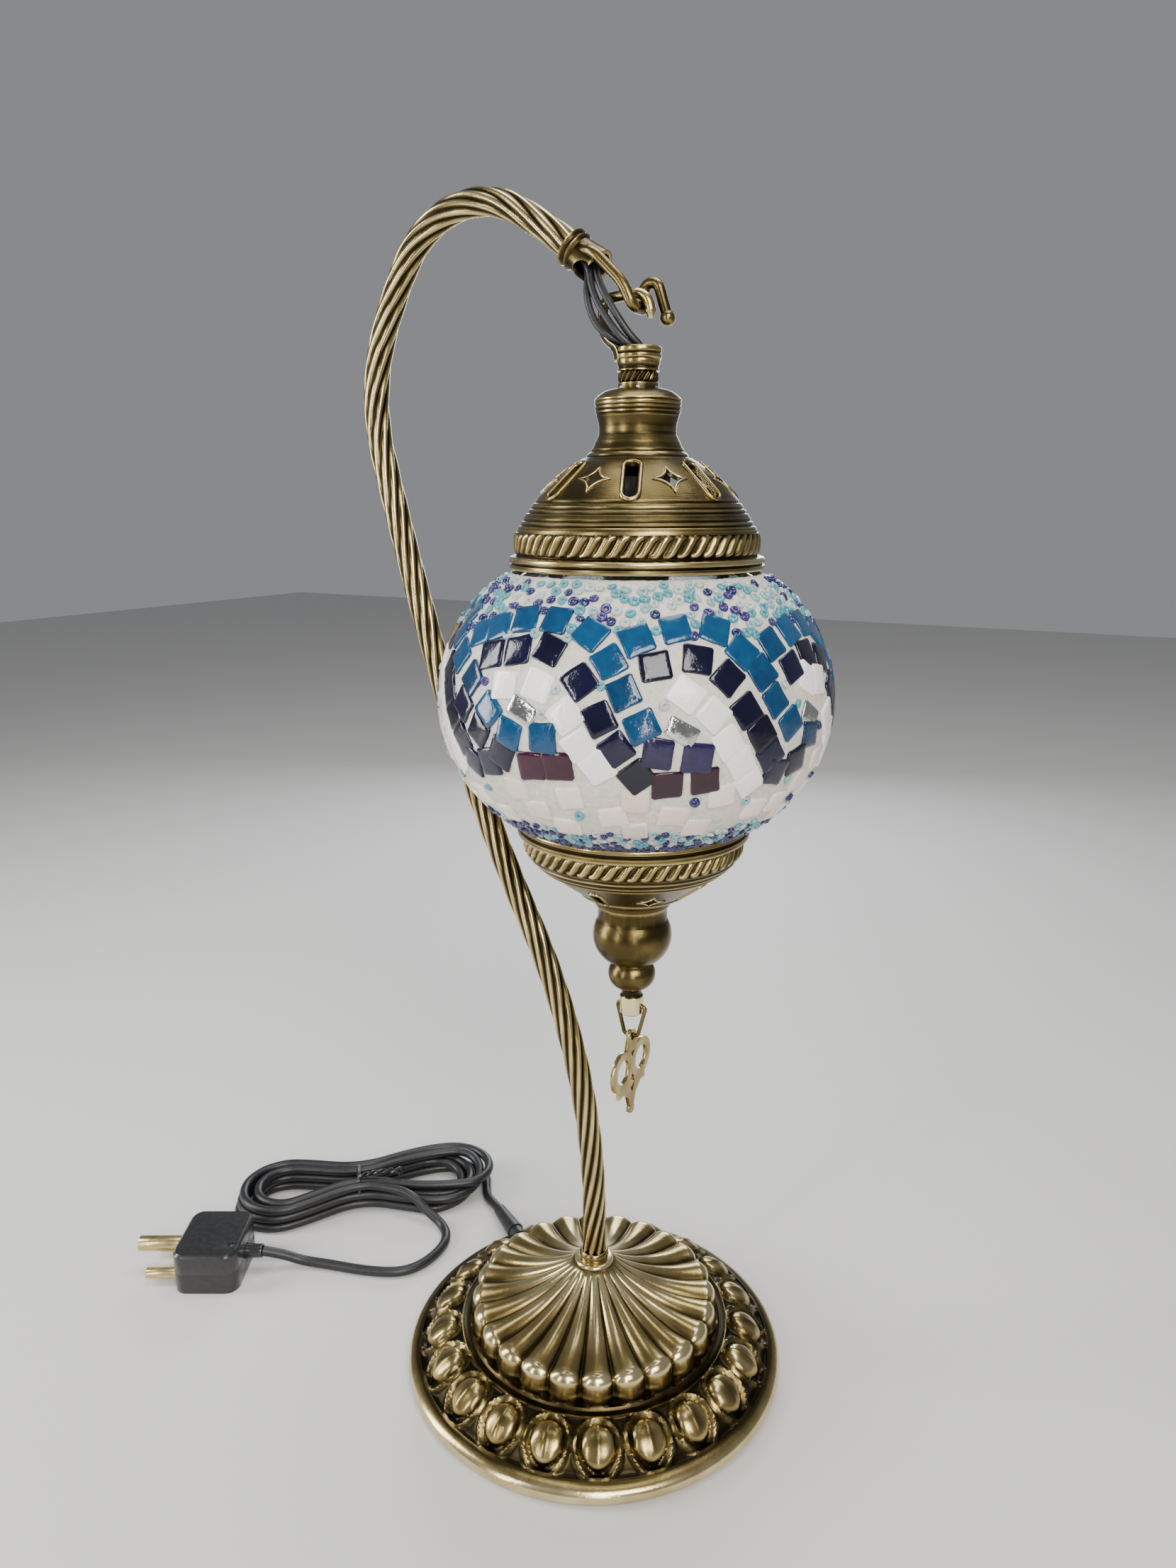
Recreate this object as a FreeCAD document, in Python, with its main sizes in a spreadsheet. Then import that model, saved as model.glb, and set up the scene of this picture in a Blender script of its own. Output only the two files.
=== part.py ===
"""Mosaic glass table lamp: a swan-neck stand with a hanging lantern.

Frame: millimetres, +Z up, origin at the centre of the round base on the
surface that it stands on.  The swan neck bends in the XZ plane and the
lantern hangs on the +X side.  Every driving size is a cell of the sheet
"Sizes"; outlines, pads and placements are bound to those cells.
"""
import FreeCAD, Part
import math
import os
import re

import Sketcher

V = FreeCAD.Vector
doc = FreeCAD.newDocument("mosaic_table_lamp")

# --------------------------------------------------------------------------
# Driving sizes
# --------------------------------------------------------------------------
SIZES = {
    # base
    "felt_top": 1.6, "plate_top": 2.8, "rim_low": 0.8, "rim_top": 7.2, "rim_edge": 78.0, "rim_roll": 3.56, "band_top": 8.8,
    "band_outer": 75.4, "tier_outer": 73.6, "tier_bulge": 22.0,
    "valley_radius": 57.4, "valley_top": 19.5, "dome_radius": 52.6,
    "dome_wall_top": 27.5, "dome_shoulder": 48.5, "shoulder_top": 31.8,
    "shoulder_round": 4.6, "dome_sweep": 75.0, "cone_radius": 9.0,
    "cone_low": 45.2, "base_top": 47.2, "sheet_wall": 1.2,
    "weight_bore": 14.0, "weight_radius": 50.0, "weight_wall_top": 17.0,
    "weight_top": 31.0, "channel_width": 6.6, "channel_top": 9.9,
    # neck and its fixing
    "neck_radius": 4.9, "neck_bore": 3.75, "pipe_radius": 3.7,
    "pipe_bore": 2.7, "pipe_low": 32.0, "pipe_top": 66.0,
    "washer_radius": 6.6, "washer_low": 44.8, "nut_low": 40.3,
    "nut_across": 11.0, "foot_ring_radius": 6.2, "foot_ring_top": 51.0,
    "ferrule_length": 14.0, "ferrule_bead": 6.7, "ferrule_wall": 1.3,
    # hook and lantern hanging
    "hook_x": 16.5, "hook_height": 422.3, "hook_wire": 1.9,
    "hang_gap": 0.4, "hook_ball": 2.6,
    # lantern: hanger, cap
    "collar_radius": 7.3, "collar_bore": 4.0, "ring_low": 398.6,
    "collar_low": 402.4, "cup_low": 406.0, "cup_top": 410.2,
    "tube_radius": 3.95, "tube_bore": 3.0, "tube_low": 367.0,
    "cap_neck": 14.7, "cap_waist": 13.35, "cap_wall": 1.2,
    "cap_rim": 41.8, "cap_flange": 44.8, "flange_top": 341.2,
    "flange_low": 336.8, "rope_low": 342.0, "rope_top": 349.4,
    "rope_radius": 43.3,
    # lantern: glass
    "globe_middle": 291.0, "globe_offset": 19.8, "globe_curve": 51.5,
    "mosaic_depth": 3.0, "glass_wall": 2.2, "globe_mouth": 34.0,
    "mosaic_mouth": 43.8,
    # lantern: bottom
    "low_flange_top": 245.6, "low_flange_bottom": 240.0,
    "low_flange": 43.4, "low_wall": 39.8, "low_rope": 41.4,
    "low_rope_bottom": 233.2, "low_floor": 211.2, "rod_radius": 2.0,
    "rod_top": 217.6, "tip_top": 186.8, "knob_radius": 4.6,
    "knob_low": 165.0, "link_pin": 168.5, "link_wire": 0.8,
    "charm_eye": 155.4, "charm_thick": 1.6, "charm_ring": 8.4,
    "charm_hole": 5.0, "charm_side": 7.7, "charm_middle": 142.4,
    # electrics
    "cord_radius": 2.3, "lead_radius": 1.25, "cord_height": 5.1,
    "cord_turn": 147.5, "boot_length": 20.0, "floor_line": 2.35,
    "pin_radius": 2.54, "pin_length": 14.7, "earth_radius": 3.53,
    "earth_length": 20.6, "plug_width": 35.0, "plug_length": 30.0,
    "plug_half": 10.0,
}

sheet = doc.addObject("Spreadsheet::Sheet", "Sizes")
for row, (alias, value) in enumerate(SIZES.items(), start=1):
    sheet.set(f"A{row}", alias)
    sheet.set(f"B{row}", str(value))
    sheet.setAlias(f"B{row}", alias)
doc.recompute()

PARTS = []                      # the objects that become nodes, in order


def bound(text):
    """Write an expression in aliases so that other objects can read it."""
    return re.sub(r"[a-z_]+", lambda word: "Sizes." + word.group(0)
                  if word.group(0) in SIZES else word.group(0), str(text))


def size(text):
    """The present value of an expression in aliases."""
    return float(sheet.evalExpression(str(text)))


def keep(item, label):
    """Name an object and list it as a piece of the lamp."""
    item.Label = label
    PARTS.append(item)
    return item


# --------------------------------------------------------------------------
# Sketch helpers
# --------------------------------------------------------------------------
def new_sketch(body, name, plane, turn=0.0):
    """A sketch on one of the body's own origin planes."""
    sketch = body.newObject("Sketcher::SketchObject", name)
    face = [item for item in body.Origin.OriginFeatures if item.Role == plane]
    sketch.AttachmentSupport = [(face[0], "")]
    sketch.MapMode = "FlatFace"
    about_z = FreeCAD.Rotation(V(0, 1, 0), turn)
    sketch.AttachmentOffset = FreeCAD.Placement(V(0, 0, 0), about_z)
    return sketch


def arc_between(start, end, radius):
    """An arc from start to end; a positive radius turns to the left."""
    chord = end - start
    half = chord.Length / 2
    rise = math.sqrt(max(radius * radius - half * half, 0.0))
    side = V(-chord.y, chord.x, 0).normalize()
    centre = (start + end) * 0.5 + side * math.copysign(rise, radius)
    first, last = (start, end) if radius > 0 else (end, start)
    circle = Part.Circle(centre, V(0, 0, 1), abs(radius))
    low = math.atan2(first.y - centre.y, first.x - centre.x)
    high = math.atan2(last.y - centre.y, last.x - centre.x)
    if high < low:
        high += 2 * math.pi
    return Part.ArcOfCircle(circle, low, high)


def hold_point(sketch, geometry, end, across, up):
    """Bind one end of an edge to two expressions."""
    for kind, axis, text in (("DistanceX", -2, across), ("DistanceY", -1, up)):
        if text == "0":
            sketch.addConstraint(
                Sketcher.Constraint("PointOnObject", geometry, end, axis))
            continue
        index = sketch.addConstraint(Sketcher.Constraint(
            kind, -1, 1, geometry, end, size(text)))
        sketch.setExpression(f"Constraints[{index}]", bound(text))


def draw_outline(sketch, corners):
    """A closed outline.  A corner is (across, up) or (across, up, radius):
    with a radius, the edge that arrives there is an arc."""
    points = [V(size(c[0]), size(c[1]), 0) for c in corners]
    ends = []
    for index, corner in enumerate(corners):
        start, end = points[index - 1], points[index]
        if len(corner) == 3:
            radius = size(corner[2])
            edge = sketch.addGeometry(arc_between(start, end, radius))
            order = (1, 2) if radius > 0 else (2, 1)
            held = sketch.addConstraint(Sketcher.Constraint(
                "Radius", edge, abs(radius)))
            sketch.setExpression(f"Constraints[{held}]",
                                 f"abs({bound(corner[2])})")
        else:
            edge = sketch.addGeometry(Part.LineSegment(start, end))
            order = (1, 2)
        ends.append((edge, order))
    for index, (edge, order) in enumerate(ends):
        following, next_order = ends[(index + 1) % len(ends)]
        sketch.addConstraint(Sketcher.Constraint(
            "Coincident", edge, order[1], following, next_order[0]))
        hold_point(sketch, edge, order[1], corners[index][0],
                   corners[index][1])


def lathe(label, corners, at_x="0", turn=0.0):
    """A turned or spun piece: an outline revolved about the Z axis."""
    body = doc.addObject("PartDesign::Body", label)
    sketch = new_sketch(body, label + "_outline", "XZ_Plane")
    draw_outline(sketch, corners)
    spin = body.newObject("PartDesign::Revolution", label + "_spin")
    spin.Profile = sketch
    spin.ReferenceAxis = (sketch, ["V_Axis"])
    spin.Angle = 360
    body.Tip = spin
    body.Placement = FreeCAD.Placement(
        V(0, 0, 0), FreeCAD.Rotation(V(0, 0, 1), turn))
    body.setExpression("Placement.Base.x", bound(at_x))
    return keep(body, label)


def cut_pocket(body, name, plane, draw, depth, towards_plus, turn=0.0):
    """Cut a sketched hole one way from an origin plane."""
    sketch = new_sketch(body, name + "_outline", plane, turn)
    draw(sketch)
    doc.recompute()
    before = body.Shape.Volume
    pocket = body.newObject("PartDesign::Pocket", name)
    pocket.Profile = sketch
    pocket.Type = "Length"
    pocket.setExpression("Length", bound(depth))
    pocket.Reversed = towards_plus
    body.Tip = pocket
    doc.recompute()
    assert body.Shape.Volume < before - 0.01, name + " cuts nothing"
    return sketch, pocket


def repeat_round(body, name, sketch, feature, count):
    """Repeat a feature evenly about the Z axis."""
    pattern = body.newObject("PartDesign::PolarPattern", name)
    pattern.Originals = [feature]
    pattern.Axis = (sketch, ["V_Axis"])
    pattern.Angle = 360
    pattern.Occurrences = count
    body.Tip = pattern
    return pattern


def hex_nut(label, low, top, across, bore, at_x="0"):
    """A hexagon nut as a pad with a bore."""
    body = doc.addObject("PartDesign::Body", label)
    sketch = new_sketch(body, label + "_hexagon", "XY_Plane")
    sketch.AttachmentOffset = FreeCAD.Placement(
        V(0, 0, size(low)), FreeCAD.Rotation())
    sketch.setExpression("AttachmentOffset.Base.z", bound(low))
    reach = size(across) / math.sqrt(3)
    corners = [V(reach * math.cos(math.radians(60 * k)),
                 reach * math.sin(math.radians(60 * k)), 0) for k in range(6)]
    guide = sketch.addGeometry(Part.Circle(V(0, 0, 0), V(0, 0, 1), reach), True)
    sketch.addConstraint(Sketcher.Constraint("Coincident", guide, 3, -1, 1))
    held = sketch.addConstraint(Sketcher.Constraint("Radius", guide, reach))
    sketch.setExpression(f"Constraints[{held}]", bound(f"{across} / sqrt(3)"))
    sides = [sketch.addGeometry(Part.LineSegment(corners[k], corners[(k + 1) % 6]))
             for k in range(6)]
    for k in range(6):
        sketch.addConstraint(Sketcher.Constraint(
            "Coincident", sides[k], 2, sides[(k + 1) % 6], 1))
        sketch.addConstraint(Sketcher.Constraint(
            "PointOnObject", sides[k], 1, guide))
    for k in range(1, 6):
        sketch.addConstraint(Sketcher.Constraint("Equal", sides[0], sides[k]))
    sketch.addConstraint(Sketcher.Constraint("PointOnObject", sides[0], 1, -1))
    hole = sketch.addGeometry(Part.Circle(V(0, 0, 0), V(0, 0, 1), size(bore)))
    sketch.addConstraint(Sketcher.Constraint("Coincident", hole, 3, -1, 1))
    held = sketch.addConstraint(Sketcher.Constraint("Radius", hole, size(bore)))
    sketch.setExpression(f"Constraints[{held}]", bound(bore))
    pad = body.newObject("PartDesign::Pad", label + "_pad")
    pad.Profile = sketch
    pad.setExpression("Length", bound(f"{top} - {low}"))
    body.Tip = pad
    body.setExpression("Placement.Base.x", bound(at_x))
    return keep(body, label)


# --------------------------------------------------------------------------
# Solids that follow a route
# --------------------------------------------------------------------------
def rounded_route(points, radii=None, name=""):
    """Straight runs joined by tangent arcs: each arc is 0.45 of its shorter
    run, divided by the tangent of half its turn, unless radii names one."""
    radii = radii or {}
    edges = []
    here = points[0]
    made = []
    for k in range(1, len(points) - 1):
        corner = points[k]
        back = (points[k - 1] - corner)
        on = (points[k + 1] - corner)
        turn = math.pi - back.getAngle(on)
        shorter = min(back.Length, on.Length)
        radius = radii.get(k, 0.45 * shorter / math.tan(turn / 2))
        reach = radius * math.tan(turn / 2)
        back.normalize()
        on.normalize()
        start = corner + back * reach
        end = corner + on * reach
        middle_way = (back + on).normalize()
        middle = (corner + middle_way
                  * (radius / math.cos(turn / 2) - radius))
        if (start - here).Length > 0.001:
            edges.append(Part.LineSegment(here, start).toShape())
        edges.append(Part.Arc(start, middle, end).toShape())
        here = end
        made.append(round(radius, 1))
    edges.append(Part.LineSegment(here, points[-1]).toShape())
    if name:
        print(name, "bend radii", made)
    return Part.Wire(edges)


def tube_along(wire, radius, name=""):
    """A round bar along a wire, with its volume compared with its length."""
    start = wire.OrderedVertexes[0].Point
    first = wire.OrderedEdges[0]
    way = first.tangentAt(first.FirstParameter)
    profile = Part.Wire([Part.Circle(start, way, radius).toShape()])
    bar = wire.makePipeShell([profile], True, False)
    wanted = math.pi * radius * radius * wire.Length
    assert abs(bar.Volume - wanted) < 0.02 * wanted, (name, bar.Volume, wanted)
    return bar


def free_form(label, shape, placement=FreeCAD.Placement()):
    """A piece whose shape no sketch feature fits."""
    item = doc.addObject("Part::Feature", label)
    item.Shape = shape
    item.Placement = placement
    return keep(item, label)


# Where the notch of the hook's cup opens: from the near side downwards.
NOTCH_TURN = math.radians(50)

# The neck's centre line: (turn in degrees towards -X, length) of each arc.
NECK_ARCS = [(0.0, 21.0), (27.0, 132.0), (-9.0, 105.0), (-4.0, 88.0),
             (-36.0, 46.0), (-11.0, 26.0), (-86.0, 56.0), (-8.0, 24.0)]


def neck_edges(low):
    """Edges of the neck's centre line, its end point and end direction."""
    here = V(0, 0, low)
    heading = 0.0
    edges = []
    for turn, length in NECK_ARCS:
        way = V(-math.sin(heading), 0, math.cos(heading))
        if turn == 0.0:
            end = here + way * length
            edges.append(Part.LineSegment(here, end).toShape())
        else:
            radius = length / math.radians(turn)
            centre = here + V(-math.cos(heading), 0, -math.sin(heading)) * radius
            half = heading + math.radians(turn) / 2
            full = heading + math.radians(turn)
            middle = centre + V(math.cos(half), 0, math.sin(half)) * radius
            end = centre + V(math.cos(full), 0, math.sin(full)) * radius
            edges.append(Part.Arc(here, middle, end).toShape())
            heading = full
        here = end
    return edges, here, V(-math.sin(heading), 0, math.cos(heading))


def cord_way(radius_out, height):
    """A point outside the base in the direction in which the cord leaves."""
    angle = math.radians(size("cord_turn"))
    return V(radius_out * math.cos(angle), radius_out * math.sin(angle), height)


# --------------------------------------------------------------------------
# Stand: base
# --------------------------------------------------------------------------
def make_base():
    lathe("felt_pad", [("0", "0"), ("73", "0"), ("73", "felt_top"),
                       ("0", "felt_top")])
    lathe("bottom_plate", [("0", "felt_top"), ("76", "felt_top"),
                           ("76", "plate_top"), ("0", "plate_top")])
    weight = lathe("base_weight", [
        ("weight_bore", "plate_top"), ("weight_radius", "plate_top"),
        ("weight_radius", "weight_wall_top"),
        ("weight_radius - 5", "weight_wall_top + 9"),
        ("weight_bore + 6", "weight_top"), ("weight_bore", "weight_top")],
        turn=size("cord_turn"))

    def channel(sketch):
        draw_outline(sketch, [
            ("weight_bore - 4", "-channel_width / 2"),
            ("weight_radius + 5", "-channel_width / 2"),
            ("weight_radius + 5", "channel_width / 2"),
            ("weight_bore - 4", "channel_width / 2")])
    cut_pocket(weight, "cord_channel", "XY_Plane", channel, "channel_top", True)

    shell = lathe("base_shell", [
        ("rim_edge - 1.8", "rim_low + 0.4"), ("rim_edge", "rim_low"),
        ("rim_edge", "rim_top", "rim_roll"),
        ("band_outer", "band_top - 0.3"), ("tier_outer", "band_top"),
        ("valley_radius", "valley_top", "tier_bulge"),
        ("dome_radius + 1.6", "valley_top - 0.4"),
        ("dome_radius", "valley_top + 1"),
        ("dome_radius - 0.2", "dome_wall_top"),
        ("dome_shoulder", "shoulder_top", "shoulder_round"),
        ("cone_radius", "cone_low", "-dome_sweep"),
        ("cone_radius - 1.6", "base_top"), ("pipe_radius + 0.1", "base_top"),
        ("pipe_radius + 0.1", "base_top - sheet_wall"),
        ("cone_radius - 2.2", "base_top - sheet_wall"),
        ("cone_radius - 1.2", "cone_low - sheet_wall"),
        ("dome_shoulder - 0.6", "shoulder_top - sheet_wall",
         "dome_sweep + sheet_wall"),
        ("dome_radius - 1.4", "dome_wall_top - 0.4",
         "-(shoulder_round - sheet_wall)"),
        ("dome_radius - 1.2", "valley_top - 1.6"),
        ("valley_radius - 0.2", "valley_top - sheet_wall"),
        ("tier_outer - 1.2", "band_top - 0.8", "-(tier_bulge - sheet_wall)"),
        ("rim_edge - 1.2", "rim_top - 0.4"), ("rim_edge - 1.2", "rim_low + 1")],
        turn=size("cord_turn"))

    def notch(sketch):
        draw_outline(sketch, [("70", "-4"), ("84", "-4"), ("84", "4"),
                              ("70", "4")])
    cut_pocket(shell, "cord_notch", "XY_Plane", notch, "9.2", True)


def ring_along(start, way, length, outer, inner, end_outer=None):
    """A straight sleeve from start, tapering to end_outer."""
    if end_outer:
        body = Part.makeCone(outer, end_outer, length, start, way)
    else:
        body = Part.makeCylinder(outer, length, start, way)
    return body.cut(Part.makeCylinder(inner, length + 2, start - way, way))


def make_cord_entry():
    height = size("cord_height")
    out = cord_way(1, 0).normalize()
    bore = size("cord_radius") + 0.05
    sleeve = ring_along(cord_way(76.4, height), out, 5.2, 3.7, bore)
    boot = ring_along(cord_way(81.6, height), out, size("boot_length"),
                      4.2, bore, 3.0)
    free_form("cord_boot", sleeve.fuse(boot).removeSplitter())
    block = Part.makeBox(9, 20, 8.4, V(-4.5, -10, size("plate_top")))
    saddle = Part.makeCylinder(size("cord_radius") + 0.1, 20,
                               V(-10, 0, height), V(1, 0, 0))
    holes = [Part.makeCylinder(1.6, 20, V(0, side, 0)) for side in (-7, 7)]
    clamp = block.cut(saddle).cut(holes[0]).cut(holes[1])
    turn = FreeCAD.Placement(cord_way(62, 0),
                             FreeCAD.Rotation(V(0, 0, 1), size("cord_turn")))
    free_form("cord_clamp", clamp, turn)
    screws = []
    for side in (-7, 7):
        head = Part.makeCylinder(2.6, 1.6, V(0, side, 11.2))
        shank = Part.makeCylinder(1.5, 8.4, V(0, side, size("plate_top")))
        screws.append(head.fuse(shank))
    free_form("clamp_screws", Part.makeCompound(screws), turn)


# --------------------------------------------------------------------------
# Stand: neck, ferrule, hook and the cable inside
# --------------------------------------------------------------------------
def make_neck():
    lathe("neck_pipe", [("pipe_bore", "pipe_low"), ("pipe_radius", "pipe_low"),
                        ("pipe_radius", "pipe_top"), ("pipe_bore", "pipe_top")])
    lathe("neck_washer", [("pipe_radius + 0.05", "washer_low"),
                          ("washer_radius", "washer_low"),
                          ("washer_radius", "base_top - sheet_wall"),
                          ("pipe_radius + 0.05", "base_top - sheet_wall")])
    hex_nut("neck_nut", "nut_low", "washer_low", "nut_across",
            "pipe_radius + 0.02")
    lathe("foot_ring", [
        ("neck_radius + 0.05", "base_top"), ("foot_ring_radius - 0.6", "base_top"),
        ("foot_ring_radius", "base_top + 1.6", "3"),
        ("foot_ring_radius - 0.8", "foot_ring_top", "3"),
        ("neck_radius + 0.05", "foot_ring_top")])
    edges, tip, way = neck_edges(size("base_top"))
    line = Part.Wire(edges)
    outer = tube_along(line, size("neck_radius"), "neck")
    inner = tube_along(line, size("neck_bore"), "neck bore")
    free_form("swan_neck", outer.cut(inner))
    print("neck top", round(outer.BoundBox.ZMax, 1), "tip", tip, way)

    # the three-core cable: along the plate, up into the neck, out at its end
    height = size("cord_height")
    start = cord_way(101.6, height)
    corner = V(0, 0, height)
    bend = 13.0
    flat_end = cord_way(bend, height)
    up_start = V(0, 0, height + bend)
    bend_centre = cord_way(bend, height + bend)
    towards = (corner - bend_centre).normalize()
    middle = bend_centre + towards * bend
    foot = V(0, 0, size("base_top"))
    route = [Part.LineSegment(start, flat_end).toShape(),
             Part.Arc(flat_end, middle, up_start).toShape(),
             Part.LineSegment(up_start, foot).toShape()]
    route += edges
    mouth = tip + way * 5
    route.append(Part.LineSegment(tip, mouth).toShape())
    free_form("inner_cable", tube_along(Part.Wire(route),
                                        size("cord_radius"), "inner cable"))

    return tip, way


def make_hook(tip, way):
    """One casting: a ferrule on the neck's end with a notched cup, whose
    lip runs on as a hook: down the near side, under, up the far side and
    out to a round-ended tail.  The hook's lowest stretch runs along Y."""
    bead = size("ferrule_bead")
    wall = size("ferrule_wall")
    length = size("ferrule_length")
    outline = [(3.75, 0), (bead - 1.6, 0), (bead, 1.3), (bead - 0.9, 2.6),
               (bead - 0.1, 3.9), (bead - 1.0, 5.2), (bead - 0.6, 9),
               (bead, length), (bead - wall, length),
               (bead - wall - 0.9, 7.5), (3.75, 6.2)]
    face = Part.Face(Part.makePolygon([V(r, 0, z) for r, z in outline]
                                      + [V(outline[0][0], 0, 0)]))
    cup = face.revolve(V(0, 0, 0), V(0, 0, 1), 360)
    cup.Placement = FreeCAD.Placement(tip, FreeCAD.Rotation(V(0, 0, 1), way))

    side = V(0, -1, 0)
    below = side.cross(way) * -1
    if below.z > 0:
        below = below * -1
    notch_way = side * math.cos(NOTCH_TURN) + below * math.sin(NOTCH_TURN)
    notch = Part.makeCylinder(5.2, 10, tip + way * 12.8, notch_way)
    notch = notch.fuse(Part.makeCylinder(5.2, 10, tip + way * 16, notch_way))
    cup = cup.cut(notch)

    x, low, wire = size("hook_x"), size("hook_height"), size("hook_wire")
    root = tip + way * 8 + V(0.6, -3.6, 2.2)
    points = [root, root + V(5.5, -1.7, -1.6), V(x - 3.5, -5.2, low + 7.5),
              V(x, -4.9, low), V(x, 4.9, low), V(x - 1.5, 5.2, low + 9.2),
              V(x + 4.5, 5.2, low + 8.0), V(x + 8.2, 5.0, low - 3.0)]
    line = rounded_route(points, {3: 3.0, 4: 3.0, 5: 3.0, 6: 3.2}, "hook")
    bar = tube_along(line, wire, "hook")
    ball = Part.makeSphere(size("hook_ball"), points[-1])
    bore = Part.makeCylinder(bead - wall - 0.9, length + 3, tip, way)
    casting = bar.fuse(ball).cut(bore).fuse(cup)
    free_form("neck_hook", casting.removeSplitter())


def make_hanger():
    """The cast hanger: a cup on the lantern's collar and an arm that rises
    and closes over the hook."""
    x, low = size("hook_x"), size("hook_height")
    wire, bore = size("hook_wire"), size("collar_bore")
    reach = 2 * wire + size("hang_gap")
    top = low + reach
    cup_low, cup_top = size("cup_low"), size("cup_top")
    outline = [(bore, cup_low), (7.4, cup_low), (7.9, cup_top),
               (6.7, cup_top), (6.2, cup_low + 1.6), (bore, cup_low + 1.4)]
    face = Part.Face(Part.makePolygon([V(r, 0, z) for r, z in outline]
                                      + [V(outline[0][0], 0, outline[0][1])]))
    cup = face.revolve(V(0, 0, 0), V(0, 0, 1), 360)
    cup.translate(V(x, 0, 0))
    points = [V(x - 7.1, 0, cup_low + 2.0), V(x - 12.6, 0, cup_low + 7.0),
              V(x - 13.6, 0, cup_low + 14.0), V(x - 10.5, 0, top),
              V(x + reach, 0, top), V(x + reach, 0, low - 3.0)]
    line = rounded_route(points, {4: reach}, "hanger")
    arm = tube_along(line, wire, "hanger")
    end = Part.makeSphere(wire, points[-1])
    free_form("hanger_hook", cup.fuse(arm).fuse(end).removeSplitter())


def make_leads(tip, way):
    """Three sleeved cores from the cup of the hook into the lantern."""
    x = size("hook_x")
    mouth = tip + way * 5.9
    up = V(-way.z, 0, way.x)
    block_top = 364.4
    names = ("lead_line", "lead_neutral", "lead_earth")
    starts = (up * 1.5 + V(0, 0.9, 0), V(0, -1.75, 0), up * -1.5 + V(0, 0.9, 0))
    bends = (
        [V(3.6, -4.4, 430.4), V(9.4, -5.0, 421.6), V(14.6, -3.4, 413.8),
         V(x + 1.4, -0.3, 410.0), V(x + 1.39, 0.8, 406.2)],
        [V(1.2, -5.0, 428.0), V(7.0, -6.0, 419.4), V(12.5, -6.0, 412.9),
         V(x - 0.5, -3.4, 409.8), V(x, -1.6, 406.2)],
        [V(-1.6, -4.2, 427.2), V(2.6, -5.4, 417.5), V(8.3, -5.2, 413.0),
         V(x - 3.3, -1.0, 410.6), V(x - 1.39, 0.8, 406.2)])
    for name, start, middle in zip(names, starts, bends):
        last = middle[-1]
        points = [mouth + start] + middle
        points.append(V(last.x, last.y, block_top))
        free_form(name, tube_along(rounded_route(points, None, name),
                                   size("lead_radius"), name))


# --------------------------------------------------------------------------
# Lantern
# --------------------------------------------------------------------------
def slot_outline(low, high, half_width):
    """An upright slot with round ends."""
    def draw(sketch):
        draw_outline(sketch, [
            (half_width, high),
            (f"-{half_width}", high, f"{half_width} + 0.01"),
            (f"-{half_width}", low),
            (half_width, low, f"{half_width} + 0.01")])
    return draw


def star_outline(middle, reach_up, reach_side):
    """A four-pointed star with hollow sides."""
    def draw(sketch):
        inner_up, inner_side = f"{reach_up} * 0.36", f"{reach_side} * 0.40"
        draw_outline(sketch, [
            ("0", f"{middle} + {reach_up}"),
            (f"-{inner_side}", f"{middle} + {inner_up}"),
            (f"-{reach_side}", middle),
            (f"-{inner_side}", f"{middle} - {inner_up}"),
            ("0", f"{middle} - {reach_up}"),
            (inner_side, f"{middle} - {inner_up}"),
            (reach_side, middle),
            (inner_side, f"{middle} + {inner_up}")])
    return draw


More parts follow.
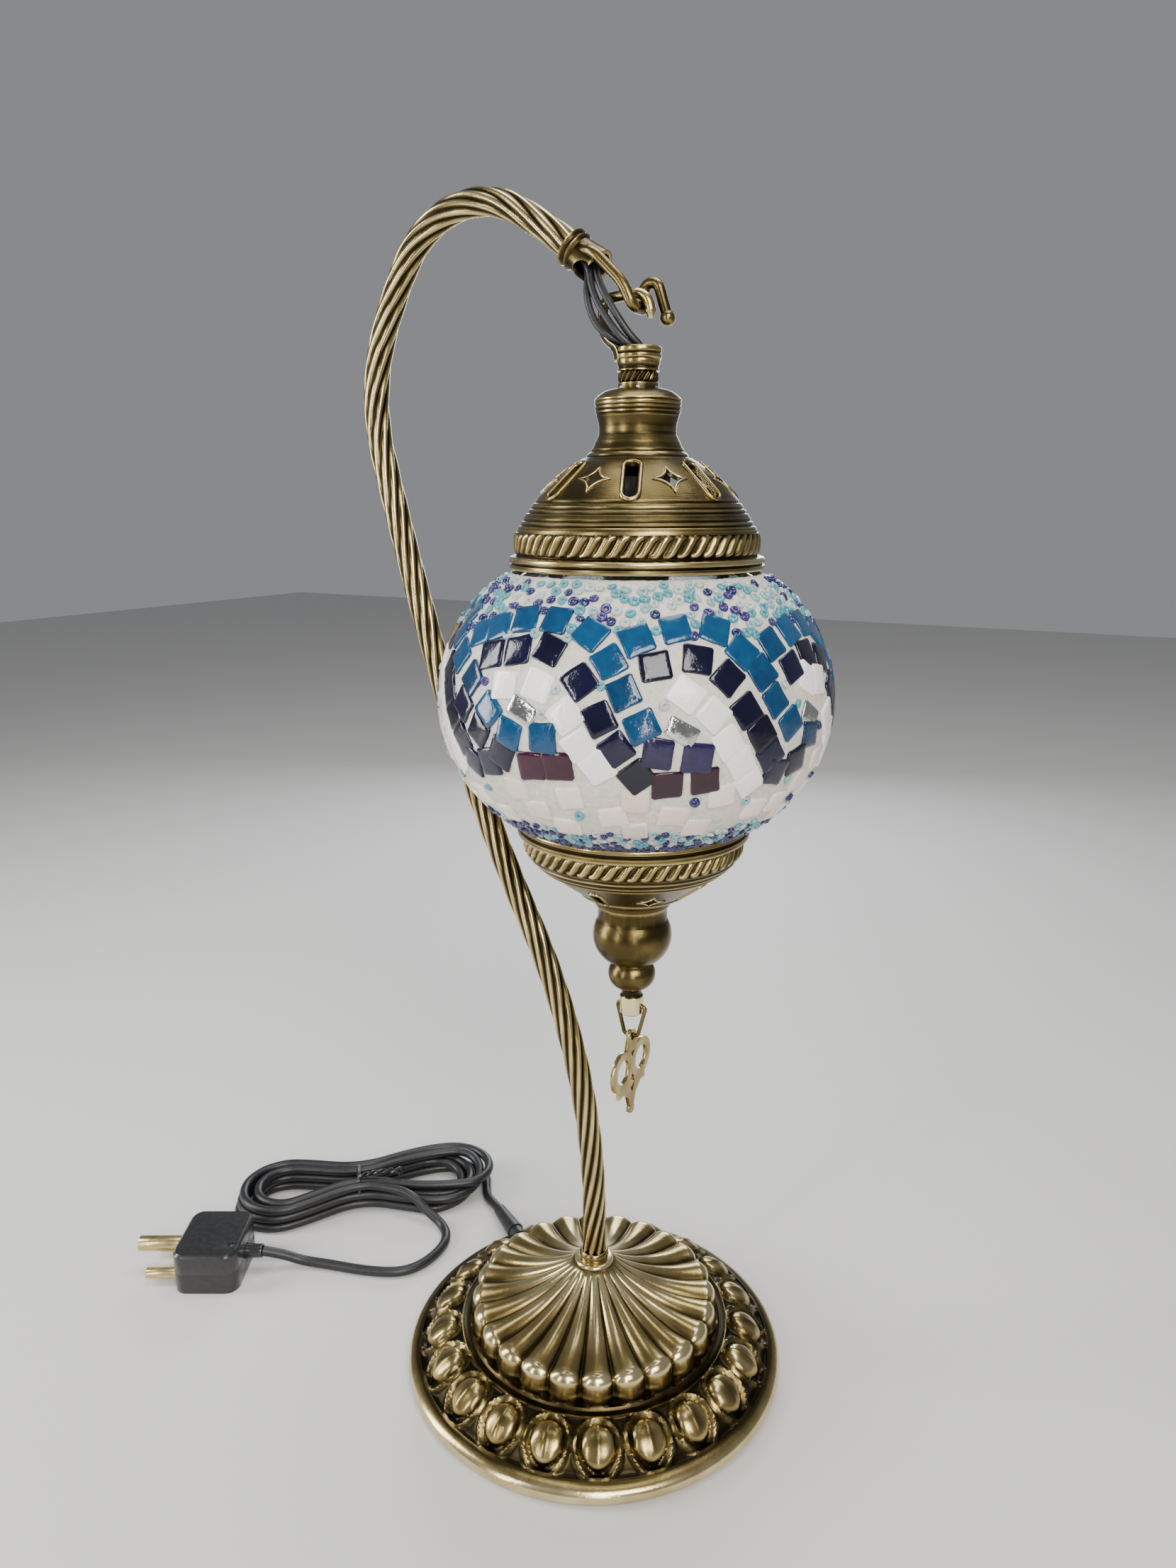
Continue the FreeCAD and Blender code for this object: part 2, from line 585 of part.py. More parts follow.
def make_top():
    at = "hook_x"
    lathe("hanger_collar", [
        ("collar_bore", "collar_low"), ("collar_radius", "collar_low"),
        ("collar_radius - 0.6", "collar_low + 1.2"),
        ("collar_radius", "collar_low + 2.2"),
        ("collar_radius", "cup_low"), ("collar_bore", "cup_low")], at)
    lathe("collar_rope_ring", [
        ("collar_bore", "ring_low"), ("collar_radius - 0.4", "ring_low"),
        ("collar_radius - 0.4", "collar_low", "2.4"),
        ("collar_bore", "collar_low")], at)
    lathe("lantern_tube", [
        ("tube_bore", "tube_low"), ("tube_radius", "tube_low"),
        ("tube_radius", "cup_low - 0.4"), ("tube_bore", "cup_low - 0.4")], at)
    cap = lathe("top_cap", [
        ("collar_bore", "ring_low"), ("collar_bore", "ring_low - cap_wall"),
        ("cap_neck - 5.5", "ring_low - cap_wall"),
        ("cap_neck - cap_wall", "393.2", "-4.8"),
        ("cap_neck - cap_wall", "388.6"),
        ("cap_waist - cap_wall", "384.4"), ("cap_waist - cap_wall", "380.8"),
        ("19.6", "372.2", "14"),
        ("cap_rim - cap_wall", "rope_top + 0.6", "-57.8"),
        ("cap_rim - cap_wall", "flange_top - 1.3"),
        ("cap_flange - cap_wall", "flange_top - 1.3"),
        ("cap_flange - cap_wall", "flange_low"), ("cap_flange", "flange_low"),
        ("cap_flange", "flange_top"), ("cap_rim", "flange_top"),
        ("cap_rim", "rope_top + 0.6"),
        ("20.6", "373", "59"), ("cap_waist", "381", "-14"),
        ("cap_waist", "384.6"), ("cap_neck", "388.8"), ("cap_neck", "393.2"),
        ("cap_neck - 5.5", "ring_low", "6")], at, turn=48.4)
    sketch, slot = cut_pocket(
        cap, "top_slot", "XZ_Plane",
        slot_outline("364", "372.4", "2.5"), "60", True)
    repeat_round(cap, "top_slots", sketch, slot, 7)
    sketch, star = cut_pocket(
        cap, "top_star", "XZ_Plane",
        star_outline("367.2", "4.6", "4.4"), "60", True, 180 / 7)
    repeat_round(cap, "top_stars", sketch, star, 7)
    lathe("top_rope_band", [
        ("cap_rim + 0.05", "rope_low"), ("rope_radius - 0.5", "rope_low"),
        ("rope_radius - 0.5", "rope_top", "14"),
        ("cap_rim + 0.05", "rope_top")], at)
    hex_nut("cap_nut", "392.6", "ring_low - cap_wall", "13",
            "tube_radius + 0.03", at)
    lathe("top_gasket", [
        ("36.4", "337.6"), ("43.4", "337.6"), ("43.4", "flange_top - 1.3"),
        ("36.4", "flange_top - 1.3")], at)


def make_lampholder():
    at = "hook_x"
    lathe("holder_cap", [
        ("tube_radius + 0.05", "376"), ("tube_radius + 0.05", "374.6"),
        ("5.4", "374.6"), ("10.3", "367.4"), ("10.3", "360.2"),
        ("11.6", "360.2"), ("11.6", "368"), ("6", "376")], at)
    lathe("holder_block", [
        ("0", "357"), ("9.4", "357"), ("9.4", "364.2"), ("0", "364.2")], at)
    lathe("globe_spider", [
        ("9.6", "359"), ("30.8", "359"), ("30.8", "360.2"), ("9.6", "360.2")], at)
    lathe("holder_shell", [
        ("10.3", "334"), ("11.6", "334"), ("11.6", "359"), ("10.3", "359")], at)
    lathe("bulb_cap", [
        ("0", "336"), ("6.9", "336"), ("6.9", "353"), ("3", "355.4"),
        ("2", "357"), ("0", "357")], at)
    lathe("bulb_glass", [
        ("6.2", "336"), ("17", "308", "-26"), ("0", "284.8", "-20"),
        ("0", "284"), ("17.8", "308", "20.8"), ("7", "336", "26.8")], at)

    clips = doc.addObject("PartDesign::Body", "globe_clips")
    sketch = new_sketch(clips, "clip_outline", "XZ_Plane")
    draw_outline(sketch, [
        ("26", "360.2"), ("31.2", "360.2"), ("32.6", "340"), ("31.8", "333"),
        ("32.6", "333"), ("33.3", "337"), ("33.3", "340"), ("31.9", "361"),
        ("26", "361")])
    strip = clips.newObject("PartDesign::Pad", "clip_strip")
    strip.Profile = sketch
    strip.Midplane = True
    strip.Length = 8
    clips.Tip = strip
    repeat_round(clips, "three_clips", sketch, strip, 3)
    clips.setExpression("Placement.Base.x", bound(at))
    keep(clips, "globe_clips")


def on_curve(radius_text, across):
    """Height above the globe's middle of a curve at a given radius."""
    return f"sqrt(({radius_text})^2 - ({across} - globe_offset)^2)"


def make_globe():
    at = "hook_x"
    glass = "globe_curve - mosaic_depth"
    inside = "globe_curve - mosaic_depth - glass_wall"
    outer_rise = on_curve(glass, "globe_mouth")
    inner_rise = on_curve(inside, "globe_mouth")
    lathe("globe_glass", [
        ("globe_mouth", f"globe_middle - {outer_rise}"),
        ("globe_mouth", f"globe_middle + {outer_rise}", glass),
        ("globe_mouth", f"globe_middle + {inner_rise}"),
        ("globe_mouth", f"globe_middle - {inner_rise}", f"-({inside})")], at)
    skin = "globe_curve"
    skin_rise = on_curve(skin, "mosaic_mouth")
    back_rise = on_curve(glass, "mosaic_mouth - 2.6")
    lathe("mosaic_skin", [
        ("mosaic_mouth", f"globe_middle - {skin_rise}"),
        ("mosaic_mouth", f"globe_middle + {skin_rise}", skin),
        ("mosaic_mouth - 2.6", f"globe_middle + {back_rise}"),
        ("mosaic_mouth - 2.6", f"globe_middle - {back_rise}",
         f"-({glass})")], at)


def make_bottom():
    at = "hook_x"
    lathe("bottom_seat", [
        ("34.4", "242.2"), ("42", "242.2"), ("42", "244.4"),
        ("34.4", "244.4")], at)
    cap = lathe("bottom_cap", [
        ("low_flange", "low_flange_top"), ("low_flange - 1.2", "low_flange_top"),
        ("low_flange - 1.2", "low_flange_bottom + 2.2"),
        ("low_wall - 1.2", "low_flange_bottom + 2.2"),
        ("low_wall - 1.2", "low_rope_bottom"), ("31.8", "226.8", "-26"),
        ("16.4", "215.6"), ("13.0", "low_floor + 1.2"),
        ("rod_radius + 0.1", "low_floor + 1.2"), ("rod_radius + 0.1", "low_floor"),
        ("14.4", "low_floor"), ("17.8", "215"), ("33", "226.2"),
        ("low_wall", "low_rope_bottom", "26"),
        ("low_wall", "low_flange_bottom"), ("low_flange", "low_flange_bottom")],
        at, turn=-3.0)
    sketch, slot = cut_pocket(
        cap, "bottom_slot", "XZ_Plane",
        slot_outline("217.2", "221.8", "2.3"), "60", True)
    repeat_round(cap, "bottom_slots", sketch, slot, 4)
    sketch, star = cut_pocket(
        cap, "bottom_star", "XZ_Plane",
        star_outline("219.2", "3.6", "4.0"), "60", True, 45.0)
    repeat_round(cap, "bottom_stars", sketch, star, 4)
    lathe("bottom_rope_band", [
        ("low_wall + 0.05", "low_rope_bottom + 0.2"),
        ("low_rope - 0.3", "low_rope_bottom + 0.2"),
        ("low_rope - 0.3", "low_flange_bottom - 0.1", "13"),
        ("low_wall + 0.05", "low_flange_bottom - 0.1")], at)
    lathe("finial", [
        ("rod_radius + 0.05", "tip_top"), ("7.4", "tip_top"),
        ("13.3", "205", "12.5"), ("13.3", "209.4"), ("14.2", "low_floor"),
        ("rod_radius + 0.05", "low_floor")], at)
    tip = lathe("finial_tip", [
        ("0", "knob_low"), ("knob_radius - 0.7", "knob_low"),
        ("knob_radius", "knob_low + 0.7"), ("knob_radius", "172.6"),
        ("3.9", "173.3"), ("3.9", "174.6"), ("4.6", "176"),
        ("7.2", "tip_top", "6.4"), ("rod_radius + 0.05", "tip_top"),
        ("rod_radius + 0.05", "176.2"), ("0", "176.2")], at)

    def cross_hole(sketch):
        ring = sketch.addGeometry(Part.Circle(
            V(0, size("link_pin"), 0), V(0, 0, 1), 1.2))
        sketch.addConstraint(Sketcher.Constraint("Radius", ring, 1.2))
        hold_point(sketch, ring, 3, "0", "link_pin")
    cut_pocket(tip, "cross_hole_near", "YZ_Plane", cross_hole, "9", True)
    cut_pocket(tip, "cross_hole_far", "YZ_Plane", cross_hole, "9", False)
    lathe("finial_rod", [("0", "176.4"), ("rod_radius", "176.4"),
                         ("rod_radius", "rod_top"), ("0", "rod_top")], at)
    hex_nut("finial_nut", "low_floor + 1.2", "215.8", "7",
            "rod_radius + 0.03", at)


def make_pendant():
    x, pin, eye = size("hook_x"), size("link_pin"), size("charm_eye")
    wire = size("link_wire")
    halves = []
    for side in (-1, 1):
        points = [V(x + side * 0.1, 0, pin), V(x + side * 6.3, 0, pin),
                  V(x + side * 2.9, 0, eye), V(x, 0, eye)]
        halves.append(tube_along(rounded_route(points, {1: 1.3, 2: 1.5}),
                                 wire, "link"))
    free_form("pendant_link", halves[0].fuse(halves[1]).removeSplitter())

    thick, middle = size("charm_thick"), size("charm_middle")
    ring, hole = size("charm_ring"), size("charm_hole")
    side_way = V(1, 0, 0)
    left = x - thick / 2

    def disc(radius, across, up):
        return Part.makeCylinder(radius, thick, V(left, across, up), side_way)

    def plate(outline):
        corners = [V(left, y, z) for y, z in outline]
        return Part.Face(Part.makePolygon(corners + corners[:1])).extrude(
            side_way * thick)
    solid = disc(ring, -size("charm_side"), middle)
    solid = solid.fuse(disc(ring, size("charm_side"), middle))
    eye_middle = eye - 0.5
    solid = solid.fuse(disc(3.0, 0, eye_middle))
    solid = solid.fuse(plate([(-3, eye_middle), (-5, middle + 6),
                              (5, middle + 6), (3, eye_middle)]))
    solid = solid.fuse(plate([(-10.5, middle - 6), (-11.5, middle - 10.5),
                              (-7.5, middle - 10.0), (-3.2, middle - 13.5),
                              (-1.2, middle - 19), (1.2, middle - 19),
                              (3.2, middle - 13.5), (7.5, middle - 10.0),
                              (11.5, middle - 10.5), (10.5, middle - 6)]))
    solid = solid.fuse(disc(2.1, 0, middle - 19.4))
    for across in (-size("charm_side"), size("charm_side")):
        solid = solid.cut(disc(hole, across, middle))
    solid = solid.cut(disc(1.7, 0, eye_middle))
    solid = solid.cut(plate([(0, middle - 4.2), (-2.2, middle - 8.2),
                             (0, middle - 12.2), (2.2, middle - 8.2)]))
    free_form("pendant_charm", solid.removeSplitter())


# --------------------------------------------------------------------------
# Mains cord, hank and plug
# --------------------------------------------------------------------------
HANK_START = V(-106, 78, 0.2)
HANK_END = V(-213, -12, 0.2)
PLUG_MIDDLE = V(-184, -44, 0)
PLUG_TURN = 209.0


def ellipse_section(place, way, half_width, low, high):
    """An upright ellipse across a way, standing between two heights."""
    side = V(-way.y, way.x, 0)
    middle = place + V(0, 0, (low + high) / 2)
    half_height = (high - low) / 2
    if half_width >= half_height:
        curve = Part.Ellipse(middle + side * half_width,
                             middle + V(0, 0, half_height), middle)
    else:
        curve = Part.Ellipse(middle + V(0, 0, half_height),
                             middle + side * half_width, middle)
    return Part.Wire([curve.toShape()])


def make_cord():
    radius, line = size("cord_radius"), size("floor_line")
    # from the boot to the hank
    start = cord_way(101.6, size("cord_height"))
    out = cord_way(1, 0).normalize()
    points = [start, start + out * 8 + V(0, 0, -1.2),
              V(-101.5, 63.5, line), V(-105.0, 73.5, line)]
    free_form("cord_start", tube_along(rounded_route(points, None, "cord start"),
                                       radius, "cord start"))
    # the tied hank: wide at both ends, drawn in at the tie
    way = (HANK_END - HANK_START).normalize()
    length = (HANK_END - HANK_START).Length
    sections = [(0.0, 9, 0.6, 8), (0.06, 19, 0.2, 15), (0.25, 22, 0.1, 19),
                (0.5, 11.5, 1.4, 18.4), (0.75, 17, 0.1, 17),
                (0.93, 15, 0.2, 14), (1.0, 8, 0.6, 8)]
    rings = [ellipse_section(HANK_START + way * (length * part), way,
                             wide, low, high)
             for part, wide, low, high in sections]
    hank = Part.makeLoft(rings, True, False)
    free_form("cord_hank", hank)
    tie_place = HANK_START + way * (length * 0.5 - 2)
    outer = Part.Face(ellipse_section(tie_place, way, 13.4, 0.0, 20.0))
    band = outer.extrude(way * 4).cut(hank)
    free_form("cord_tie", band)
    # from the hank's near side, round a low loop, to the plug
    turn = math.radians(PLUG_TURN)
    pins_way = V(math.cos(turn), math.sin(turn), 0)
    entry = PLUG_MIDDLE - pins_way * (size("plug_length") / 2 + 9.0)
    entry.z = size("plug_half") + 0.2
    points = [V(-121, 47, line), V(-108, 36, line), V(-98, 23, line),
              V(-96.5, 8, line), V(-105, -6, line), V(-120, -13, line),
              V(-135, -18, line), entry - pins_way * 7 + V(0, 0, -6.6),
              entry + pins_way * 1.0]
    free_form("cord_tail", tube_along(rounded_route(points, None, "cord tail"),
                                      radius, "cord tail"))
    for name in ("cord_start", "cord_tail"):
        shape = [item for item in PARTS if item.Label == name][0].Shape
        print(name, "length", round(shape.Volume / (math.pi * radius ** 2), 1),
              "low", round(shape.BoundBox.ZMin, 2))


def make_plug():
    """A round-pin, three-pin plug that lies flat, in two halves."""
    width, length, half = (size("plug_width"), size("plug_length"),
                           size("plug_half"))
    bore = size("cord_radius") + 0.1
    place = FreeCAD.Placement(PLUG_MIDDLE, FreeCAD.Rotation(V(0, 0, 1),
                                                            PLUG_TURN))

    def half_shell(low):
        box = Part.makeBox(length, width, half, V(-length / 2, -width / 2, low))
        upright = [edge for edge in box.Edges
                   if abs(edge.tangentAt(edge.FirstParameter).z) > 0.9]
        return box.makeFillet(6, upright)

    middle = 0.2 + half
    hollow = Part.makeBox(17, 26, 12, V(-7, -13, middle - 6))
    entry = Part.makeCylinder(3.6, 12, V(-length / 2 - 2, 0, middle), V(1, 0, 0))
    pin_holes = [
        Part.makeCylinder(2.6, 14, V(length / 2 - 8, 9.5, 5.2), V(1, 0, 0)),
        Part.makeCylinder(2.6, 14, V(length / 2 - 8, -9.5, 5.2), V(1, 0, 0)),
        Part.makeCylinder(3.6, 14, V(length / 2 - 8, 0, 14.4), V(1, 0, 0))]
    screw_hole = Part.makeCylinder(1.6, 30, V(-11.2, 8.5, -1))
    cutters = [hollow, entry, screw_hole] + pin_holes
    lower, upper = half_shell(0.2), half_shell(middle)
    for cutter in cutters:
        lower = lower.cut(cutter)
        upper = upper.cut(cutter)
    rim = [edge for edge in upper.Edges
           if abs(edge.BoundBox.ZMin - (middle + half)) < 0.01
           and edge.BoundBox.YLength > 4 and edge.Length > 6]
    if rim:
        upper = upper.makeChamfer(1.2, rim) if len(rim) > 2 else upper
    grip = Part.makeCone(3.1, 3.5, 14, V(-length / 2 - 8, 0, middle), V(1, 0, 0))
    grip = grip.cut(Part.makeCylinder(bore, 18, V(-length / 2 - 9, 0, middle),
                                      V(1, 0, 0)))
    def round_pin(radius, reach, across, up):
        pin = Part.makeCylinder(radius, reach, V(length / 2, across, up),
                                V(1, 0, 0))
        root = Part.makeCylinder(radius - 0.4, 6, V(length / 2 - 6, across, up),
                                 V(1, 0, 0))
        return pin.fuse(root)

    live = [round_pin(size("pin_radius"), size("pin_length"), side, 5.2)
            for side in (-9.5, 9.5)]
    earth = round_pin(size("earth_radius"), size("earth_length"), 0, 14.4)
    screw = Part.makeCylinder(1.5, 2 * half - 2.2, V(-11.2, 8.5, 1.2))
    pieces = {"plug_base": lower, "plug_cover": upper, "plug_cord_grip": grip,
              "plug_live_pins": Part.makeCompound(live),
              "plug_earth_pin": earth, "plug_screw": screw}
    for label, shape in pieces.items():
        free_form(label, shape, place)


make_base()
make_cord_entry()
neck_tip, neck_way = make_neck()
make_hook(neck_tip, neck_way)
make_hanger()
make_leads(neck_tip, neck_way)
make_top()
make_lampholder()
make_globe()
make_bottom()
make_pendant()
make_cord()
make_plug()
doc.recompute()

# --------------------------------------------------------------------------
# Check every object, then write one STEP file for each piece
# --------------------------------------------------------------------------
for item in doc.Objects:
    failed = {"Invalid", "Error"} & set(item.State)
    assert not failed, (item.Label, item.State)
for item in PARTS:
    assert not item.Shape.isNull() and item.Shape.isValid(), item.Label
os.makedirs("parts", exist_ok=True)
for item in PARTS:
    item.Shape.exportStep(os.path.join("parts", item.Label + ".step"))
    solids = len(item.Shape.Solids)
    print(f"{item.Label:20s} {solids} solid(s) {item.Shape.Volume:12.1f} mm3")
print(len(PARTS), "pieces")
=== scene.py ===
"""Mosaic glass table lamp: its looks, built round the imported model."""

import math
import random

import bmesh
import bpy
import numpy as np
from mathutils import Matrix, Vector


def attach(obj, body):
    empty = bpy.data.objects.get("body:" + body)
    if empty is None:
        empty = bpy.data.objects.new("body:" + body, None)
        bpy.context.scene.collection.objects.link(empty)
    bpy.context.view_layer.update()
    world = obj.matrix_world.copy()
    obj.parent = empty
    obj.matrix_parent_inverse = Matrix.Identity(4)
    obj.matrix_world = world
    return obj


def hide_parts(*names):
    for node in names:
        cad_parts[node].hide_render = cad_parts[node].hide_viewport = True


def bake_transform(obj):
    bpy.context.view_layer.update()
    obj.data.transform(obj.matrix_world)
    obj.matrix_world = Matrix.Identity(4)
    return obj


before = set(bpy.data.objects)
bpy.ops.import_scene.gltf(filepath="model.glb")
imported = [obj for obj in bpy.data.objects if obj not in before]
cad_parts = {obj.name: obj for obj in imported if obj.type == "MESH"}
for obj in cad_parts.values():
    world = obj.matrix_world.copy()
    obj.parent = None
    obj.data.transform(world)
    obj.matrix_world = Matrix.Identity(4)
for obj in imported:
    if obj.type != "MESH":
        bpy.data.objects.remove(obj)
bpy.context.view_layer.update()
MM = 0.001
AXIS = 16.5                # the lantern's axis, in millimetres along X
CAMERA_SIDE = -61          # the side that the camera sees, in degrees round it
TAU = 2 * math.pi


def new_object(name, data):
    item = bpy.data.objects.new(name, data)
    bpy.context.scene.collection.objects.link(item)
    return item


# ------------ camera, lights
def make_camera():
    data = bpy.data.cameras.new("camera")
    data.lens = 24.97
    data.sensor_width = 36
    data.clip_start = 0.01
    camera = new_object("camera", data)
    camera.location = (0.1916, -0.3511, 0.360)
    camera.rotation_euler = (math.radians(75.4), 0, math.radians(29))
    bpy.context.scene.camera = camera


def make_light(name, place, aim, size, power, colour=(1, 1, 1)):
    data = bpy.data.lights.new(name, "AREA")
    data.shape = "RECTANGLE"
    data.size, data.size_y = size
    data.energy = power
    data.color = colour
    light = new_object(name, data)
    light.location = place
    way = Vector(aim) - Vector(place)
    light.rotation_euler = way.to_track_quat("-Z", "Y").to_euler()

def make_studio():
    half = 3000
    mesh = new_mesh("floor", [(-half, -half, 0), (half, -half, 0),
                              (half, half, 0), (-half, half, 0)], [range(4)])
    floor = new_object("floor", mesh)
    paint, tree, shader = new_material("floor_paint")
    shader.inputs["Base Color"].default_value = (0.62, 0.61, 0.59, 1)
    shader.inputs["Roughness"].default_value = 0.75
    mesh.materials.append(paint)
    world = bpy.data.worlds.new("studio")
    world.use_nodes = True
    sky = world.node_tree.nodes["Background"]
    sky.inputs["Color"].default_value = (0.72, 0.74, 0.78, 1)
    sky.inputs["Strength"].default_value = 0.35
    bpy.context.scene.world = world
    make_light("key", (0.75, -0.75, 0.95), (0, 0, 0.25), (0.6, 0.7), 16,
               (1, 0.97, 0.92))
    make_light("left_strip", (-0.85, -0.45, 0.5), (0, 0, 0.25), (0.25, 0.9), 9)
    make_light("top", (0.0, 0.2, 1.3), (0, 0, 0.2), (0.7, 0.7), 9)
    make_light("near_left", (-0.30, -1.0, 0.5), (0, 0, 0.25), (0.05, 0.8), 4)
    make_light("near_right", (0.60, -0.95, 0.5), (0, 0, 0.25), (0.04, 0.8), 4)
    make_light("back", (-0.4, 0.9, 0.5), (0, 0, 0.3), (0.5, 0.4), 5,
               (0.9, 0.95, 1))


# ------------ materials
def new_material(name):
    paint = bpy.data.materials.new(name)
    paint.use_nodes = True
    return paint, paint.node_tree, paint.node_tree.nodes["Principled BSDF"]


def maths(tree, kind, first, second=None, third=None):
    node = tree.nodes.new("ShaderNodeMath")
    node.operation = kind
    for socket, value in zip(node.inputs, (first, second, third)):
        if isinstance(value, (int, float)):
            socket.default_value = value
        elif value is not None:
            tree.links.new(value, socket)
    return node.outputs[0]


def ramp(tree, driver, stops):
    node = tree.nodes.new("ShaderNodeValToRGB")
    line = node.color_ramp
    while len(line.elements) < len(stops):
        line.elements.new(0.5)
    for element, (place, colour) in zip(line.elements, stops):
        element.position = place
        element.color = tuple(colour) + (1,)
    tree.links.new(driver, node.inputs["Fac"])
    return node.outputs["Color"]


def noise(tree, where, scale, detail=4.0, rough=0.55):
    node = tree.nodes.new("ShaderNodeTexNoise")
    node.inputs["Scale"].default_value = scale
    node.inputs["Detail"].default_value = detail
    node.inputs["Roughness"].default_value = rough
    tree.links.new(where, node.inputs["Vector"])
    return node.outputs["Fac"]


def place_in(tree):
    return tree.nodes.new("ShaderNodeTexCoord").outputs["Object"]


def attribute(tree, name, output="Fac"):
    node = tree.nodes.new("ShaderNodeAttribute")
    node.attribute_name = name
    return node.outputs[output]


def bump(tree, shader, height, distance, strength=1.0):
    node = tree.nodes.new("ShaderNodeBump")
    node.inputs["Distance"].default_value = distance
    node.inputs["Strength"].default_value = strength
    tree.links.new(height, node.inputs["Height"])
    tree.links.new(node.outputs["Normal"], shader.inputs["Normal"])


def turned_place(tree, axis_x, stretch):
    """Coordinates that run round an upright axis, for brushed turned metal."""
    parts = tree.nodes.new("ShaderNodeSeparateXYZ")
    tree.links.new(place_in(tree), parts.inputs[0])
    across = maths(tree, "SUBTRACT", parts.outputs[0], axis_x * MM)
    turn = maths(tree, "ARCTAN2", parts.outputs[1], across)
    out = maths(tree, "SQRT", maths(
        tree, "ADD", maths(tree, "MULTIPLY", across, across),
        maths(tree, "MULTIPLY", parts.outputs[1], parts.outputs[1])))
    joined = tree.nodes.new("ShaderNodeCombineXYZ")
    tree.links.new(out, joined.inputs[0])
    tree.links.new(maths(tree, "MULTIPLY", turn, stretch), joined.inputs[1])
    tree.links.new(parts.outputs[2], joined.inputs[2])
    return joined.outputs[0]


def make_brass(name, axis_x=None, lift=0.0, rough=0.20):
    """Aged brass: dark patina and painted shade in the recesses, pale gold on
    ridges bright with wear.
    """
    paint, tree, shader = new_material(name)
    where = place_in(tree)
    patches = maths(tree, "SUBTRACT", noise(tree, where, 75, 3, 0.4),
                    0.5 - lift)
    # the bend attribute darkens the hollows with patina and with painted
    # shade, and lightens the ridges with wear
    level = maths(tree, "MULTIPLY_ADD", patches, 0.34, attribute(tree, "wear_and_shade"))
    colour = ramp(tree, level, [
        (0.0, (0.006, 0.005, 0.003)), (0.32, (0.028, 0.021, 0.010)),
        (0.52, (0.085, 0.062, 0.022)), (0.72, (0.36, 0.27, 0.105)),
        (0.95, (0.82, 0.69, 0.38))])
    tree.links.new(colour, shader.inputs["Base Color"])
    shader.inputs["Metallic"].default_value = 1.0
    scuff = noise(tree, where, 300, 3)
    tree.links.new(maths(tree, "ADD", maths(
        tree, "ADD", maths(tree, "MULTIPLY", level, -0.20), rough + 0.16),
        maths(tree, "MULTIPLY", scuff, 0.05)), shader.inputs["Roughness"])
    if axis_x is None:
        marks = noise(tree, where, 700, 4)
    else:
        marks = noise(tree, turned_place(tree, axis_x, 0.002), 2600, 2)
    bump(tree, shader, marks, 0.00005)
    return paint


def make_glass(name, deep, pale, depth=0.25, rough=0.13):
    """Cut stained glass: cloudy depth, a wavy face and a hard gloss."""
    paint, tree, shader = new_material(name)
    where = place_in(tree)
    cloud = noise(tree, where, 260, 4)
    shade = maths(tree, "MULTIPLY", attribute(tree, "shade"), 0.75)
    mist = maths(tree, "MULTIPLY", maths(tree, "SUBTRACT", cloud, 0.5), 0.9)
    level = maths(tree, "ADD", shade, mist)
    middle = [(a + b) / 2 for a, b in zip(deep, pale)]
    colour = ramp(tree, level, [(0.0, deep), (0.5, middle), (1.0, pale)])
    tree.links.new(colour, shader.inputs["Base Color"])
    shader.inputs["Roughness"].default_value = rough
    shader.inputs["IOR"].default_value = 1.45
    shader.inputs["Transmission Weight"].default_value = depth
    shader.inputs["Coat Weight"].default_value = 0.2
    shader.inputs["Coat Roughness"].default_value = 0.05
    bump(tree, shader, noise(tree, where, 420, 3), 0.0002, 0.7)
    return paint


def make_plain(name, dark, light, scale, rough, metal=0.0, depth=0.0001,
               coat=0.0, through=0.0):
    """A finish that varies softly between two tones."""
    paint, tree, shader = new_material(name)
    where = place_in(tree)
    grain = noise(tree, where, scale, 5)
    tree.links.new(ramp(tree, grain, [(0.25, dark), (0.75, light)]),
                   shader.inputs["Base Color"])
    tree.links.new(maths(tree, "MULTIPLY_ADD", grain, 0.12, rough),
                   shader.inputs["Roughness"])
    shader.inputs["Metallic"].default_value = metal
    shader.inputs["Coat Weight"].default_value = coat
    shader.inputs["Transmission Weight"].default_value = through
    bump(tree, shader, grain, depth)
    return paint


def make_bead_glass():
    """Coloured glass; each bead brings its own hue."""
    paint, tree, shader = new_material("bead_glass")
    hue = attribute(tree, "hue", "Color")
    tree.links.new(hue, shader.inputs["Base Color"])
    shader.inputs["Roughness"].default_value = 0.06
    shader.inputs["IOR"].default_value = 1.5
    shader.inputs["Transmission Weight"].default_value = 0.45
    shader.inputs["Coat Weight"].default_value = 0.4
    return paint


# ------------ mesh helpers
def new_mesh(name, points, faces):
    """A mesh from points in millimetres."""
    mesh = bpy.data.meshes.new(name)
    mesh.from_pydata((np.asarray(points, float) * MM).tolist(), [],
                     [tuple(f) for f in faces])
    return mesh


def clean(mesh):
    """Join doubled points and turn the faces outwards."""
    work = bmesh.new()
    work.from_mesh(mesh)
    bmesh.ops.remove_doubles(work, verts=work.verts, dist=1e-6)
    bmesh.ops.recalc_face_normals(work, faces=work.faces)
    work.to_mesh(mesh)
    work.free()


def put(name, points, faces, paint, body, slot, replaced=(), data=None,
        sharp=40):
    """Make a mesh object from points in millimetres, hang it on its body and
    hide the CAD nodes it replaces.
    """
    mesh = new_mesh(name, points, faces)
    for key, values in (data or {}).items():
        values = np.asarray(values, np.float32)
        kind = "FLOAT" if values.ndim == 1 else "FLOAT_COLOR"
        layer = mesh.attributes.new(key, kind, "POINT")
        layer.data.foreach_set("value" if values.ndim == 1 else "color",
                               values.ravel())
    mesh.validate()
    mesh.update()
    item = new_object(name, mesh)
    clean(mesh)
    mesh.shade_smooth()
    mesh.set_sharp_from_angle(angle=math.radians(sharp))
    mesh.materials.append(paint)
    if body:
        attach(item, body)
    if replaced:
        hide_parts(*replaced)
    return item


